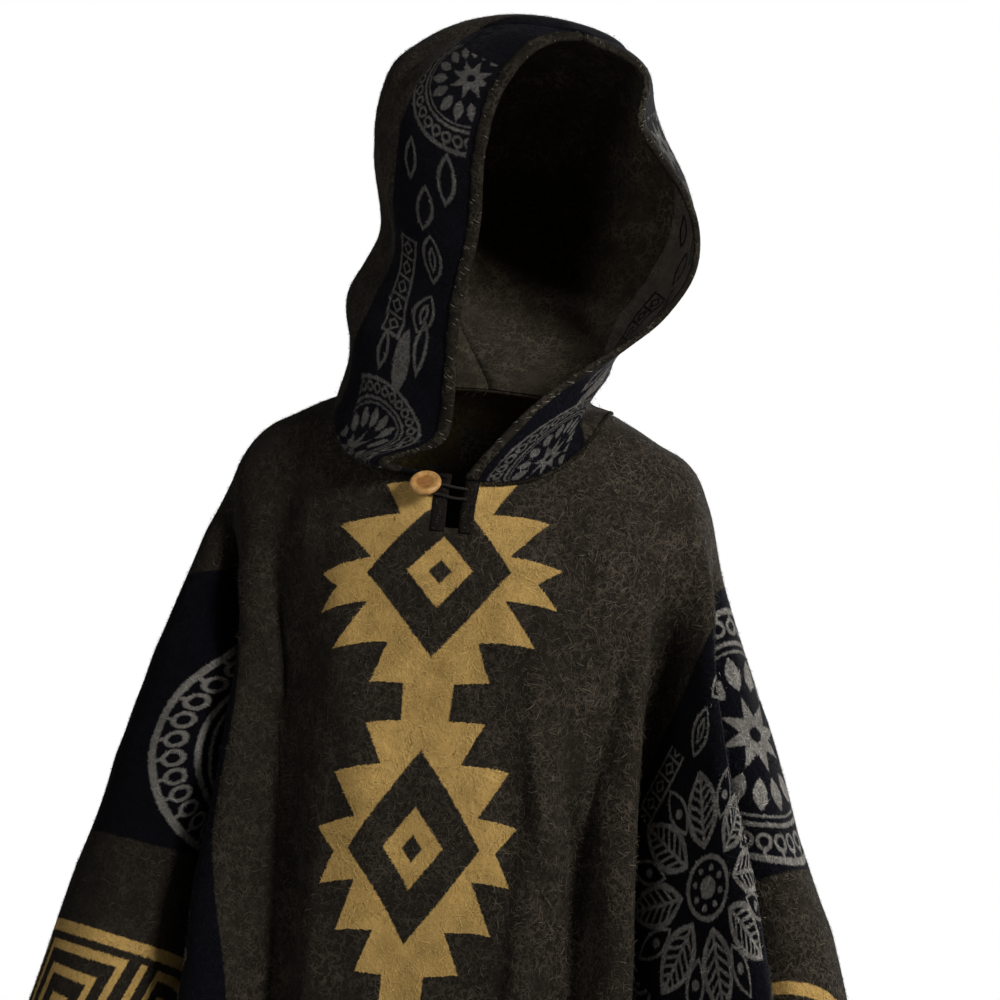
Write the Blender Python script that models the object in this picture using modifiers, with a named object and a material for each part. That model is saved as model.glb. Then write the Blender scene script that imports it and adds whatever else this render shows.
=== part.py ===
"""Hooded Andean poncho, worn: one blanket cloth folded over the shoulders, a hood of two
halves sewn to its neck hole, bound edges, and a button with a cord loop at the neck slit.

Metres, +Z up. The wearer faces -Y, the wearer's left is +X, and the origin lies between
the shoulders, where the wearer holds the poncho up. The hollow form stays open: neck, face,
wrists and hem.

The flat cloth is measured by two distances: u, across it from wrist to wrist (0 at the
centre), and v, along it from the shoulder line (+ to the front hem, - to the back hem).
"""
import bpy
import bmesh
import numpy as np
from math import cos, pi, radians, sin
from mathutils import Matrix, Vector

# ---------------------------------------------------------------- sizes
CLOTH_HALF_WIDTH = 0.72      # centre to the wrist edge
CLOTH_HALF_LENGTH = 0.86     # shoulder line to the hem
CLOTH_THICKNESS = 0.0025
SEAM_GAP = 0.0007            # between pieces that are sewn edge to edge
SHOULDER = 0.175             # u of the point of the shoulder
NECK_HALF = 0.103            # half width of the neck hole
NECK_DEPTH = {"front": 0.128, "back": 0.035}
NECK_SQUARENESS = 2.5        # 2 would be an ellipse
SLIT_LENGTH = 0.044
SLIT_HALF = 0.005
BINDING_WIDTH = 0.009
BINDING_THICKNESS = 0.0012
PLACKET_WIDTH = 0.0105
PLACKET_TAIL = 0.008         # the placket strips run on below the slit
HEAD_OFFSET = 0.018          # the hood is centred a little to the wearer's left
HEAD_TURN = radians(35)      # and turned the same way
BUTTON_RADIUS = 0.0115
BUTTON_THICKNESS = 0.0045
BUTTON_PLACE = (-0.0195, 0.139)   # u, v
LOOP_CORD = 0.0022
LOOP_FOOT = (0.0125, 0.143)       # u, v on the far placket

# Slope of the cloth below the horizontal, in degrees, along its way down from the shoulders.
# rows: distance along the cloth, slope
FALL = {
    ("front", "middle"): ((0, 10), (0.04, 36), (0.10, 62), (0.16, 76), (0.24, 87), (0.40, 91), (0.86, 91)),
    ("front", "edge"): ((0, 8), (0.03, 40), (0.07, 66), (0.14, 82), (0.30, 88), (0.86, 90)),
    ("back", "middle"): ((0, 6), (0.04, 34), (0.10, 62), (0.18, 80), (0.30, 89), (0.86, 91)),
    ("back", "edge"): ((0, 8), (0.03, 40), (0.07, 66), (0.14, 81), (0.30, 88), (0.86, 90)),
    ("arm", "edge"): ((0, 28), (0.025, 56), (0.06, 76), (0.14, 80), (0.86, 80)),
}

# Shoulder line.  rows: u, out, up
SHOULDER_LINE = (
    (0.000, 0.000, 0.062),
    (0.060, 0.060, 0.058),
    (0.103, 0.103, 0.048),
    (0.140, 0.134, 0.035),
    (0.175, 0.160, 0.017),
)
SHOULDER_OUT, SHOULDER_UP = SHOULDER_LINE[-1][1:]

# The cloth beyond the shoulder falls in folds that fan out from it.
REACH = 0.35                 # the fold rows are measured this far from the shoulder
GATHER_LENGTH = 0.28         # the middle draws in over about this length
GATHER_MOST = 1 / (1 - np.exp(-REACH / GATHER_LENGTH))
GATHER_SPREAD = 1.6          # the outer cloth of the middle draws in more than its centre
ARM = {                      # line of the arm at REACH: out, forward, radius of the cloth round it
    "right": (0.060, 0.034, 0.046),
    "left": (0.090, 0.040, 0.046),
}
# rows: angle on the flat cloth from the wrist line (+ to the front), out, forward,
# share of the point that belongs to the tube round the arm
FOLDS = {
    "right": (
        (-90, -0.036, -0.098, 0.0),   # edge of the middle of the back
        (-83, -0.020, -0.142, 0.0),
        (-77, 0.004, -0.168, 0.0),    # inner back ridge
        (-71, 0.012, -0.150, 0.0),
        (-65, 0.000, -0.112, 0.0),
        (-59, 0.004, -0.076, 0.0),    # back trough
        (-53, 0.024, -0.092, 0.0),
        (-46, 0.050, -0.132, 0.0),
        (-40, 0.066, -0.144, 0.0),    # outer back ridge
        (-34, 0.074, -0.118, 0.0),
        (-27, 0.066, -0.070, 0.0),
        (-20, 0.062, -0.028, 0.4),    # trough behind the arm
        (-13, 0.082, -0.010, 0.9),
        (-6, 0.099, 0.012, 1.0),
        (0, 0.104, 0.034, 1.0),       # outer line of the arm
        (7, 0.092, 0.064, 1.0),
        (14, 0.062, 0.080, 1.0),
        (21, 0.028, 0.068, 1.0),
        (28, 0.012, 0.034, 0.9),
        (35, 0.000, -0.006, 0.5),
        (42, -0.020, -0.036, 0.0),    # deep trough between arm and body
        (48, -0.036, -0.012, 0.0),
        (54, -0.028, 0.026, 0.0),
        (61, -0.012, 0.058, 0.0),
        (66, 0.003, 0.084, 0.0),      # front ridge, which overhangs the arm
        (71, -0.008, 0.098, 0.0),
        (76, -0.028, 0.086, 0.0),
        (82, -0.044, 0.070, 0.0),
        (90, -0.050, 0.068, 0.0),     # edge of the middle of the front
    ),
    "left": (
        (-90, -0.036, -0.098, 0.0),
        (-83, -0.024, -0.130, 0.0),
        (-76, -0.002, -0.160, 0.0),   # inner back ridge
        (-69, 0.012, -0.146, 0.0),
        (-63, 0.008, -0.108, 0.0),
        (-57, 0.018, -0.078, 0.0),    # back trough
        (-50, 0.044, -0.104, 0.0),
        (-43, 0.070, -0.134, 0.0),
        (-36, 0.090, -0.136, 0.0),    # outer back ridge
        (-30, 0.094, -0.098, 0.0),
        (-23, 0.090, -0.052, 0.0),
        (-17, 0.094, -0.018, 0.5),    # trough behind the arm
        (-10, 0.108, 0.000, 1.0),
        (-5, 0.120, 0.018, 1.0),
        (0, 0.124, 0.040, 1.0),       # outer line of the arm
        (7, 0.115, 0.070, 1.0),
        (14, 0.094, 0.086, 1.0),
        (20, 0.074, 0.078, 0.8),
        (25, 0.066, 0.086, 0.3),      # shallow trough on the arm
        (31, 0.076, 0.112, 0.0),
        (37, 0.086, 0.132, 0.0),      # crest that lies over the arm
        (42, 0.076, 0.142, 0.0),
        (48, 0.052, 0.122, 0.0),
        (54, 0.026, 0.094, 0.0),
        (60, 0.000, 0.064, 0.0),
        (65, -0.014, 0.046, 0.0),     # trough behind the body fold
        (69, -0.012, 0.070, 0.0),
        (73, -0.001, 0.096, 0.0),     # body fold
        (77, -0.010, 0.108, 0.0),
        (82, -0.026, 0.098, 0.0),
        (86, -0.036, 0.088, 0.0),
        (90, -0.046, 0.092, 0.0),
    ),
}

# Soft ridges (+) and troughs (-) of the middle.
# rows: u, where it starts, length over which it grows, width, height, lean
MIDDLE_FOLDS = {
    "front": (
        (-0.150, 0.10, 0.30, 0.030, -0.010, 0.02),
        (-0.105, 0.20, 0.35, 0.030, 0.007, 0.00),
        (-0.040, 0.50, 0.30, 0.035, -0.010, 0.00),
        (0.040, 0.45, 0.30, 0.035, 0.010, 0.00),
        (0.118, 0.16, 0.30, 0.020, 0.010, 0.00),
        (0.155, 0.20, 0.30, 0.020, -0.006, 0.00),
    ),
    "back": (
        (-0.120, 0.12, 0.30, 0.030, -0.014, 0.00),
        (-0.050, 0.20, 0.35, 0.032, 0.014, 0.01),
        (0.030, 0.16, 0.40, 0.034, -0.012, -0.01),
        (0.110, 0.20, 0.30, 0.030, 0.014, 0.00),
    ),
}

# Guide lines of the hood, in the frame of the head, from just above the neck to the front of
# the crown.  rows: height share, sideways, forward, up
FACE_EDGE = {
    "right": (
        (0.12, 0.082, 0.092, 0.006),
        (0.25, 0.080, 0.088, 0.045),
        (0.40, 0.080, 0.086, 0.100),
        (0.55, 0.078, 0.086, 0.155),
        (0.70, 0.082, 0.086, 0.215),
        (0.82, 0.070, 0.082, 0.262),
        (0.92, 0.040, 0.074, 0.304),
        (1.00, 0.000, 0.064, 0.324),
    ),
    "left": (
        (0.12, 0.010, 0.076, 0.036),
        (0.25, 0.036, 0.080, 0.072),
        (0.40, 0.084, 0.084, 0.115),
        (0.55, 0.110, 0.088, 0.160),
        (0.70, 0.096, 0.086, 0.212),
        (0.80, 0.051, 0.084, 0.256),
        (0.92, 0.040, 0.076, 0.304),
        (1.00, 0.000, 0.064, 0.324),
    ),
}
WIDEST_LINE = {
    "right": (
        (0.12, 0.130, -0.012, 0.050),
        (0.25, 0.126, -0.018, 0.095),
        (0.40, 0.108, -0.020, 0.150),
        (0.55, 0.110, -0.020, 0.205),
        (0.70, 0.104, -0.015, 0.262),
        (0.82, 0.084, 0.002, 0.305),
        (0.92, 0.046, 0.040, 0.326),
        (1.00, 0.000, 0.064, 0.324),
    ),
    "left": (
        (0.12, 0.084, -0.012, 0.050),
        (0.25, 0.084, -0.018, 0.095),
        (0.40, 0.098, -0.020, 0.150),
        (0.55, 0.110, -0.020, 0.205),
        (0.70, 0.104, -0.015, 0.262),
        (0.82, 0.084, 0.002, 0.305),
        (0.92, 0.046, 0.040, 0.326),
        (1.00, 0.000, 0.064, 0.324),
    ),
}
CENTRE_SEAM = (
    (0.12, 0.000, -0.088, 0.060),
    (0.25, 0.000, -0.116, 0.115),
    (0.40, 0.000, -0.130, 0.190),
    (0.55, 0.000, -0.122, 0.262),
    (0.70, 0.000, -0.080, 0.322),
    (0.82, 0.000, -0.018, 0.343),
    (0.92, 0.000, 0.036, 0.338),
    (1.00, 0.000, 0.064, 0.324),
)
HOOD_TOP = 0.985             # t of the front edge of the crown
HOOD_START = 0.12            # height share of the guide lines' lowest rows
HOOD_FOOT = 0.20             # t over which the hood leaves the neck hole
HOOD_BULGE = 0.16            # roundness of the sides, as a share of their width
HOOD_LIFT = 0.0030           # its lower edge stands on the cloth

SIGN = {"right": -1, "left": 1}
AHEAD = {"front": 1, "back": -1}


# ---------------------------------------------------------------- reading the tables
def smoothstep(x):
    x = np.clip(x, 0, 1)
    return x * x * (3 - 2 * x)


def read(rows, column, at):
    """A column of a table at the places `at` of its first column, on a smooth curve."""
    xs, ys = (np.array([row[k] for row in rows], float) for k in (0, column))
    slopes = np.gradient(ys, xs)
    i = np.clip(np.searchsorted(xs, at) - 1, 0, len(xs) - 2)
    step = xs[i + 1] - xs[i]
    t = np.clip((at - xs[i]) / step, 0, 1)
    start, end = 2 * t**3 - 3 * t**2 + 1, 3 * t**2 - 2 * t**3
    leave, arrive = t**3 - 2 * t**2 + t, t**3 - t**2
    return start * ys[i] + end * ys[i + 1] + step * (leave * slopes[i] + arrive * slopes[i + 1])


FALL_STEP = 0.004
FALL_RUN = np.arange(0, 1.3, FALL_STEP)


def summed_fall(rows):
    """Distances forward and down of a cloth that follows the slopes of a FALL table."""
    slope = np.radians(np.interp(FALL_RUN, *zip(*rows)))
    forward, down = (np.cumsum(f(slope)) * FALL_STEP for f in (np.cos, np.sin))
    return forward - forward[0], down - down[0]


SUMMED = {key: summed_fall(rows) for key, rows in FALL.items()}


def fall(end, line, distance):
    return tuple(np.interp(distance, FALL_RUN, summed) for summed in SUMMED[end, line])


# ---------------------------------------------------------------- the draped cloth
def drop(length, out, forward):
    """How far down a taut length reaches when its end is that far out and forward."""
    return np.sqrt(np.maximum(length**2 - out**2 - forward**2, (0.2 * length) ** 2))


def gathered(distance):
    """How far the middle has drawn in at that distance down it, 1 at REACH."""
    return GATHER_MOST * (1 - np.exp(-distance / GATHER_LENGTH))


def edge_of_middle(side, end, distance):
    """Out, forward and up of the line down the cloth from the point of the shoulder."""
    angle = 90 * AHEAD[end]
    forward, down = fall(end, "edge", distance)
    full = read(FOLDS[side], 2, angle) * AHEAD[end] / fall(end, "edge", REACH)[0]
    out = SHOULDER_OUT + read(FOLDS[side], 1, angle) * gathered(distance)
    return out, forward * full, SHOULDER_UP - down


def middle(side, end, across, along):
    """The cloth between the shoulders: over them, down the chest or the back."""
    share = across / SHOULDER
    forward, down = fall(end, "middle", along)
    edge_out, edge_forward, edge_up = edge_of_middle(side, end, along)
    outer = share**2.2
    out = read(SHOULDER_LINE, 1, across)
    out = out + (edge_out - SHOULDER_OUT) * share**GATHER_SPREAD
    forward = forward * (1 - outer) + edge_forward * outer
    up = read(SHOULDER_LINE, 2, across) - down * (1 - outer) + (edge_up - SHOULDER_UP) * outer
    for place, start, growth, width, height, lean in MIDDLE_FOLDS[end]:
        off = (SIGN[side] * across - place - lean * along) / width
        ridge = height * smoothstep((along - start) / growth) * np.exp(-off * off)
        forward = forward + ridge * (1 - share**8)
    return np.stack([SIGN[side] * out, -AHEAD[end] * forward, up], -1)


def wing(side, end, across, along):
    """The cloth beyond the shoulder: a round cap, then a tube on the arm and the folds."""
    rows, ahead = FOLDS[side], AHEAD[end]
    beyond = np.maximum(across - SHOULDER, 1e-9)
    r = np.hypot(beyond, along)
    angle = np.arctan2(along, beyond)
    degrees = np.degrees(angle) * ahead
    scale = r / REACH

    def folded(at):
        out, forward, tube = (read(rows, k, at) for k in (1, 2, 3))
        tube = np.clip(tube, 0, 1)
        arm_out, arm_forward, radius = ARM[side]
        round_arm = np.tanh(r / 0.12) + 0.05 * np.maximum(r - REACH, 0) / radius
        o = (out * (1 - tube) + arm_out * tube) * scale + (out - arm_out) * tube * round_arm
        f = forward * (1 - tube) * scale**0.75
        f = f + arm_forward * tube * scale + (forward - arm_forward) * tube * round_arm
        return o, f, drop(r, o, f)

    def cap(turn):
        share = np.cos(turn) ** 2
        edge, arm = fall(end, "edge", r), fall("arm", "edge", r)
        flat, down = (e * (1 - share) + a * share for e, a in zip(edge, arm))
        return flat * np.cos(turn), ahead * flat * np.sin(turn), down

    grown = smoothstep((r - 0.03) / 0.20)

    def place(at, turn):
        return [c * (1 - grown) + f * grown for c, f in zip(cap(turn), folded(at))]

    out, forward, down = place(degrees, angle)
    edge_out, edge_forward, edge_down = place(np.full_like(r, 90.0 * ahead), np.full_like(r, pi / 2))
    want_out, want_forward, want_up = edge_of_middle(side, end, r)
    near = smoothstep((np.abs(degrees) - 45) / 45)
    out = SHOULDER_OUT + out + near * (want_out - SHOULDER_OUT - edge_out)
    forward = forward + near * (ahead * want_forward - edge_forward)
    up = SHOULDER_UP - down + near * (want_up - SHOULDER_UP + edge_down)
    return np.stack([SIGN[side] * out, -forward, up], -1)


def hang(u, v):
    """Where the points u, v of the flat cloth hang."""
    place = np.zeros(u.shape + (3,))
    for side in SIGN:
        for end in AHEAD:
            here = ((u >= 0) == (side == "left")) & ((v >= 0) == (end == "front"))
            if here.any():
                across, along = np.abs(u[here]), np.abs(v[here])
                inner = middle(side, end, np.minimum(across, SHOULDER), along)
                outer = wing(side, end, across, along)
                place[here] = np.where((across <= SHOULDER)[:, None], inner, outer)
    return place


def cloth(u, v):
    """The draped cloth, each point averaged over a small disc of cloth so that it bends softly."""
    u, v = (np.array(a, float) for a in np.broadcast_arrays(u, v))
    r = np.hypot(np.abs(u) - SHOULDER, v)
    on_shoulder = smoothstep((SHOULDER + 0.02 - np.abs(u)) / 0.05)
    soft = 0.006 + 0.017 * np.exp(-((r / 0.14) ** 2)) + 0.010 * np.exp(-((v / 0.035) ** 2)) * on_shoulder
    total = 0.16 * hang(u, v)
    for radius, count, weight in ((1, 6, 0.07), (2, 12, 0.035)):
        for k in range(count):
            turn = 2 * pi * k / count
            total = total + weight * hang(u + radius * cos(turn) * soft, v + radius * sin(turn) * soft)
    return total


def cloth_normal(u, v):
    step = 0.002
    across = cloth(u + step, v) - cloth(u - step, v)
    along = cloth(u, v + step) - cloth(u, v - step)
    normal = np.cross(along, across)
    return normal / np.linalg.norm(normal, axis=-1, keepdims=True)


def above_cloth(u, v, height):
    return cloth(u, v) + cloth_normal(u, v) * height


# ---------------------------------------------------------------- the neck and its slit
def neck(turn):
    """u, v of the neck hole, by the turn from its centre front (0) to its centre back (pi)."""
    power = 2 / NECK_SQUARENESS
    depth = np.where(np.cos(turn) > 0, NECK_DEPTH["front"], NECK_DEPTH["back"])
    across = NECK_HALF * np.abs(np.sin(turn)) ** power * np.sign(np.sin(turn))
    return across, depth * np.abs(np.cos(turn)) ** power * np.sign(np.cos(turn))


def slit_half(v):
    """Half the width of the open slit at v."""
    run = np.clip((v - NECK_DEPTH["front"]) / SLIT_LENGTH, 0, 1)
    return SLIT_HALF * np.sqrt(1 - run**4)


# ---------------------------------------------------------------- the hood
def head(sideways, forward, up):
    """From the frame of the turned head to the frame of the body."""
    c, s = cos(HEAD_TURN), sin(HEAD_TURN)
    return np.stack([HEAD_OFFSET + sideways * c + forward * s, sideways * s - forward * c, up], -1)


def hood(side, q, t):
    """q: 0 at the face edge, 1 at the centre seam. t: 0 at the neck, 1 at the crown's front."""
    q, t = (np.array(a, float) for a in np.broadcast_arrays(q, t))
    sign = SIGN[side]
    h = HOOD_START + (1 - HOOD_START) * t
    edge, widest, seam = (
        head(sign * read(rows, 1, h), read(rows, 2, h), read(rows, 3, h))
        for rows in (FACE_EDGE[side], WIDEST_LINE[side], CENTRE_SEAM)
    )
    outward = np.array([sign * cos(HEAD_TURN), sign * sin(HEAD_TURN), 0.0])
    seam = seam + outward * SEAM_GAP / 2
    half = (2 * q)[..., None]
    width = np.linalg.norm(widest - edge, axis=-1, keepdims=True)
    cheek = edge + (widest - edge) * half + outward * width * HOOD_BULGE * np.sin(pi * half)
    sideways = outward * np.sum((widest - seam) * outward, -1, keepdims=True)
    turn = (half - 1) * pi / 2
    back = seam + sideways * np.cos(turn) + (widest - seam - sideways) * (1 - np.sin(turn))
    upper = np.where(half <= 1, cheek, back)
    u, v = neck(slit_turn() + q * (pi - slit_turn()))
    foot = above_cloth(sign * np.maximum(u, SEAM_GAP), v, HOOD_LIFT)
    level, height = smoothstep(t / HOOD_FOOT), np.sin(np.clip(t / HOOD_FOOT, 0, 1) * pi / 2)
    risen = np.stack([level, level, height], -1)
    return foot * (1 - risen) + upper * risen


def slit_turn():
    """The turn round the neck hole at which the slit's edge lies."""
    return np.arcsin((SLIT_HALF / NECK_HALF) ** (NECK_SQUARENESS / 2))


def hood_normal(side, q, t):
    step = 0.01
    low, high = np.clip(q - step, 0, 1), np.clip(q + step, 0, 1)
    across = hood(side, high, t) - hood(side, low, t)
    down, top = np.clip(t - step, 0, 1), np.clip(t + step, 0, 1)
    rise = hood(side, q, top) - hood(side, q, down)
    normal = np.cross(rise, across) * -SIGN[side]
    return normal / np.linalg.norm(normal, axis=-1, keepdims=True)


# ---------------------------------------------------------------- Blender helpers
def clear_scene():
    for old in list(bpy.data.objects):
        bpy.data.objects.remove(old)


def material(name, colour, roughness):
    made = bpy.data.materials.new(name)
    made.use_nodes = True
    shader = made.node_tree.nodes["Principled BSDF"]
    shader.inputs["Base Color"].default_value = (*colour, 1)
    shader.inputs["Roughness"].default_value = roughness
    shader.inputs["Metallic"].default_value = 0.0
    return made


def add_mapped_grid(bm, columns, rows, place):
    """A grid whose corner i, j lies at place(columns[i], rows[j])."""
    grid = bmesh.ops.create_grid(bm, x_segments=len(columns) - 1, y_segments=len(rows) - 1, size=0.5)
    verts = grid["verts"]
    i = [round((v.co.x + 0.5) * (len(columns) - 1)) for v in verts]
    j = [round((v.co.y + 0.5) * (len(rows) - 1)) for v in verts]
    for vert, point in zip(verts, place(np.array(columns)[i], np.array(rows)[j])):
        vert.co = point


def finish_shell(bm, name, thickness, look, smooth=True):
    """Makes a bmesh surface an object with a wall of the given thickness."""
    bmesh.ops.remove_doubles(bm, verts=bm.verts, dist=0.00002)
    bmesh.ops.recalc_face_normals(bm, faces=bm.faces)
    mesh = bpy.data.meshes.new(name)
    bm.to_mesh(mesh)
    bm.free()
    made = bpy.data.objects.new(name, mesh)
    poncho.objects.link(made)
    if smooth:
        mesh.shade_smooth()
    mesh.materials.append(look)
    wall = made.modifiers.new("wall", "SOLIDIFY")
    wall.thickness = thickness
    wall.offset = 0
    wall.use_even_offset = False
    return made


# ---------------------------------------------------------------- front and back
NECK_COLUMNS = 7
WING_STEPS = (8, 13)          # from the body to the corner, from the corner to the wrist line
# distance from the neck hole at the centre, down the cloth
ROW_DISTANCES = (0, 0.003, 0.018, 0.032, 0.044, 0.055, 0.085, 0.125, 0.18, 0.25, 0.33, 0.42, 0.52, 0.62, 0.732)
SEAM_STRIP = 0.4              # degrees: a narrow column keeps the shoulder seam's edges square
SIDE_SPREAD = 0.03            # columns beside the neck hole leave it sideways, by this much
SPREAD_LENGTH = 0.03          # over this distance


def column_list():
    """Columns of a quarter of the cloth: turns round the neck, then u, then fan angles."""
    corner = np.degrees(np.arctan2(CLOTH_HALF_LENGTH, CLOTH_HALF_WIDTH - SHOULDER))
    columns = [("neck", turn) for turn in np.linspace(0, pi / 2, NECK_COLUMNS + 1)]
    columns += [("shoulder", u) for u in np.linspace(NECK_HALF, SHOULDER, 3)[1:]]
    columns += [("fan", a) for a in np.linspace(90, corner, WING_STEPS[0] + 1)[1:]]
    columns += [("fan", a) for a in np.linspace(corner, 0, WING_STEPS[1] + 1)[1:-1]]
    return columns + [("fan", SEAM_STRIP), ("fan", 0.0)]


def flat_point(end, column, share):
    """u, v on the flat cloth of a column at a share of its length."""
    kind, value = column
    if kind == "fan":
        c, s = cos(radians(value)), sin(radians(value))
        across, along = CLOTH_HALF_WIDTH - SHOULDER, CLOTH_HALF_LENGTH
        r = share * min(across / max(c, 1e-9), along / max(s, 1e-9))
        return SHOULDER + r * c, r * s
    u, top, beside = value, 0.0, (SHOULDER - value) / (SHOULDER - NECK_HALF)
    if kind == "neck":
        u, top = neck(value if end == "front" else pi - value)
        top, beside = abs(top), (value / (pi / 2)) ** 4
    v = top + share * (CLOTH_HALF_LENGTH - top)
    u = u + SIDE_SPREAD * beside * (1 - np.exp(-(v - top) / SPREAD_LENGTH))
    if kind == "neck" and value == 0:
        u = slit_half(v) if end == "front" else 0.0
    return abs(u), v


def panel(end, look):
    """The front or the back: two quarters of the cloth, joined down the centre."""
    bm = bmesh.new()
    columns = column_list()
    shares = np.array(ROW_DISTANCES) / ROW_DISTANCES[-1]
    for side, sign in SIGN.items():
        def place(i, j, sign=sign):
            flat = np.array([flat_point(end, columns[int(c)], shares[int(r)]) for c, r in zip(i, j)])
            u = sign * np.maximum(flat[:, 0], 1e-7)
            return cloth(u, AHEAD[end] * (flat[:, 1] + SEAM_GAP / 2))
        add_mapped_grid(bm, list(range(len(columns))), list(range(len(shares))), place)
    return finish_shell(bm, end, CLOTH_THICKNESS, look)


# ---------------------------------------------------------------- hood pieces
EDGE_COLUMN = 0.02            # a narrow column along each edge keeps it square to the cloth
HOOD_ROWS = (0, 0.015, 0.05, 0.09, 0.14, 0.20, 0.28, 0.37, 0.47, 0.57, 0.66, 0.74, 0.81, 0.88, 0.94, HOOD_TOP)


def hood_columns():
    """Columns of a hood half, which stand on the corners of the neck hole."""
    turns = np.linspace(0, pi, 2 * NECK_COLUMNS + 1)[1:-1]
    corners = (turns - slit_turn()) / (pi - slit_turn())
    return [0, EDGE_COLUMN, *corners, 1 - EDGE_COLUMN / 2, 1]


def hood_half(side, look):
    bm = bmesh.new()
    add_mapped_grid(bm, hood_columns(), HOOD_ROWS, lambda q, t: hood(side, q, t))
    return finish_shell(bm, "hood_" + side, CLOTH_THICKNESS, look)


def hood_binding(side, look):
    """The strip along the face edge, on the outside of the hood."""
    bm = bmesh.new()
    lift = (CLOTH_THICKNESS + BINDING_THICKNESS) / 2 + 1.8 * SEAM_GAP

    def place(across, t):
        near = np.linalg.norm(hood(side, EDGE_COLUMN, t) - hood(side, 0.0, t), axis=-1)
        q = EDGE_COLUMN * across / near
        return hood(side, q, t) + hood_normal(side, q, t) * lift

    add_mapped_grid(bm, (0.0, BINDING_WIDTH / 2, BINDING_WIDTH), HOOD_ROWS[2:], place)
    return finish_shell(bm, "hood_binding_" + side, BINDING_THICKNESS, look)


def placket(side, look):
    """The strip along one edge of the slit, which runs on a little below it."""
    bm = bmesh.new()
    lift = (CLOTH_THICKNESS + BINDING_THICKNESS) / 2 + SEAM_GAP
    top, bottom = NECK_DEPTH["front"] + 0.006, NECK_DEPTH["front"] + SLIT_LENGTH + PLACKET_TAIL
    rows = np.linspace(top, bottom, 8)

    def place(across, v):
        u = SIGN[side] * (np.maximum(slit_half(v), SEAM_GAP / 2) + across)
        return above_cloth(u, v, lift)

    add_mapped_grid(bm, (0.0, PLACKET_WIDTH / 2, PLACKET_WIDTH), rows, place)
    return finish_shell(bm, "placket_" + side, BINDING_THICKNESS, look)


# ---------------------------------------------------------------- button and loop
BUTTON_LIFT = 0.0062          # its back stands clear of the placket, with the loop between
SHANK_RADIUS = 0.0016
# rows: radius as a share of the button's, height as a share of its thickness
BUTTON_PROFILE = (
    (0.0, 0.72), (0.45, 0.72), (0.62, 0.82), (0.78, 1.0), (0.92, 0.92), (1.0, 0.55), (0.96, 0.20), (0.82, 0.0),
)


def frame_on_cloth(u, v, height):
    """A frame on the cloth: X across it, Z out of it."""
    point, normal = Vector(above_cloth(u, v, height)), Vector(cloth_normal(u, v))
    across = Vector((1, 0, 0)) - normal * normal.x
    across.normalize()
    turned = Matrix((across, normal.cross(across), normal)).transposed().to_4x4()
    return Matrix.Translation(point) @ turned


def button(look):
    """A turned disc with a raised rim, and the thread shank under it, in one."""
    low = -(BUTTON_LIFT - CLOTH_THICKNESS / 2 - SEAM_GAP)
    rows = [(r * BUTTON_RADIUS, h * BUTTON_THICKNESS) for r, h in BUTTON_PROFILE]
    rows += [(SHANK_RADIUS, 0.0), (SHANK_RADIUS, low), (0.0, low)]
    bm = bmesh.new()
    verts = [bm.verts.new((x, 0, z)) for x, z in rows]
    for a, b in zip(verts, verts[1:]):
        bm.edges.new((a, b))
    mesh = bpy.data.meshes.new("button")
    bm.to_mesh(mesh)
    bm.free()
    made = bpy.data.objects.new("button", mesh)
    poncho.objects.link(made)
    turned = made.modifiers.new("turned", "SCREW")
    turned.steps = turned.render_steps = 20
    turned.use_merge_vertices = True
    turned.merge_threshold = 0.00005
    mesh.materials.append(look)
    made.matrix_world = frame_on_cloth(*BUTTON_PLACE, BUTTON_LIFT)
    return made


def loop(look):
    """A cord from the far placket, once round the button's shank and back."""
    lift = CLOTH_THICKNESS / 2 + BINDING_THICKNESS + LOOP_CORD / 2 + 1.6 * SEAM_GAP
    ring = SHANK_RADIUS + LOOP_CORD / 2 + 0.0006
    (bu, bv), (fu, fv) = BUTTON_PLACE, LOOP_FOOT
    half = 0.0036
    flat = [(fu, fv - half), (fu - 0.008, fv - half - 0.0003), (bu + 0.010, bv - ring * 1.05)]
    flat += [(bu + ring * sin(a), bv - ring * cos(a)) for a in np.linspace(0.2, -pi - 0.2, 7)]
    flat += [(bu + 0.010, bv + ring * 1.25), (fu - 0.008, fv + half + 0.0005), (fu, fv + half)]
    data = bpy.data.curves.new("button_loop", "CURVE")
    data.dimensions = "3D"
    data.bevel_depth = LOOP_CORD / 2
    data.bevel_resolution = 2
    data.use_fill_caps = True
    spline = data.splines.new("POLY")
    spline.points.add(len(flat) - 1)
    for point, (u, v) in zip(spline.points, flat):
        point.co = (*above_cloth(u, v, lift), 1)
    made = bpy.data.objects.new("button_loop", data)
    data.materials.append(look)
    poncho.objects.link(made)
    return made


# ---------------------------------------------------------------- the poncho
clear_scene()
poncho = bpy.data.collections.new("andean_poncho")
bpy.context.scene.collection.children.link(poncho)

blanket = material("blanket_cloth", (0.075, 0.066, 0.053), 0.95)
navy = material("navy_band", (0.012, 0.015, 0.040), 0.95)
edging = material("edging", (0.085, 0.075, 0.058), 0.9)
wood = material("button_wood", (0.50, 0.30, 0.13), 0.5)
dark_cord = material("dark_cord", (0.03, 0.026, 0.022), 0.85)

panel("front", blanket)
panel("back", blanket)
for side in SIGN:
    hood_half(side, navy)
    hood_binding(side, edging)
    placket(side, edging)
button(wood)
loop(dark_cord)
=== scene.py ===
"""Hooded Andean poncho of brushed blanket cloth, worn and hollow: the draped blanket with its
stepped gold motifs and dark patterned arm blocks, a hood of two halves, bound edges, a wooden
button with its cord loop, and the long nap that covers the cloth.

Metres, +Z up. The wearer faces -Y and the wearer's left is +X. The flat cloth is measured by u,
across it from wrist to wrist, and v, along it from the shoulder line (+ to the front hem).
"""
from math import cos, pi, radians, sin

import bmesh
import bpy
import numpy as np
from mathutils import Matrix, Vector


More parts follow.
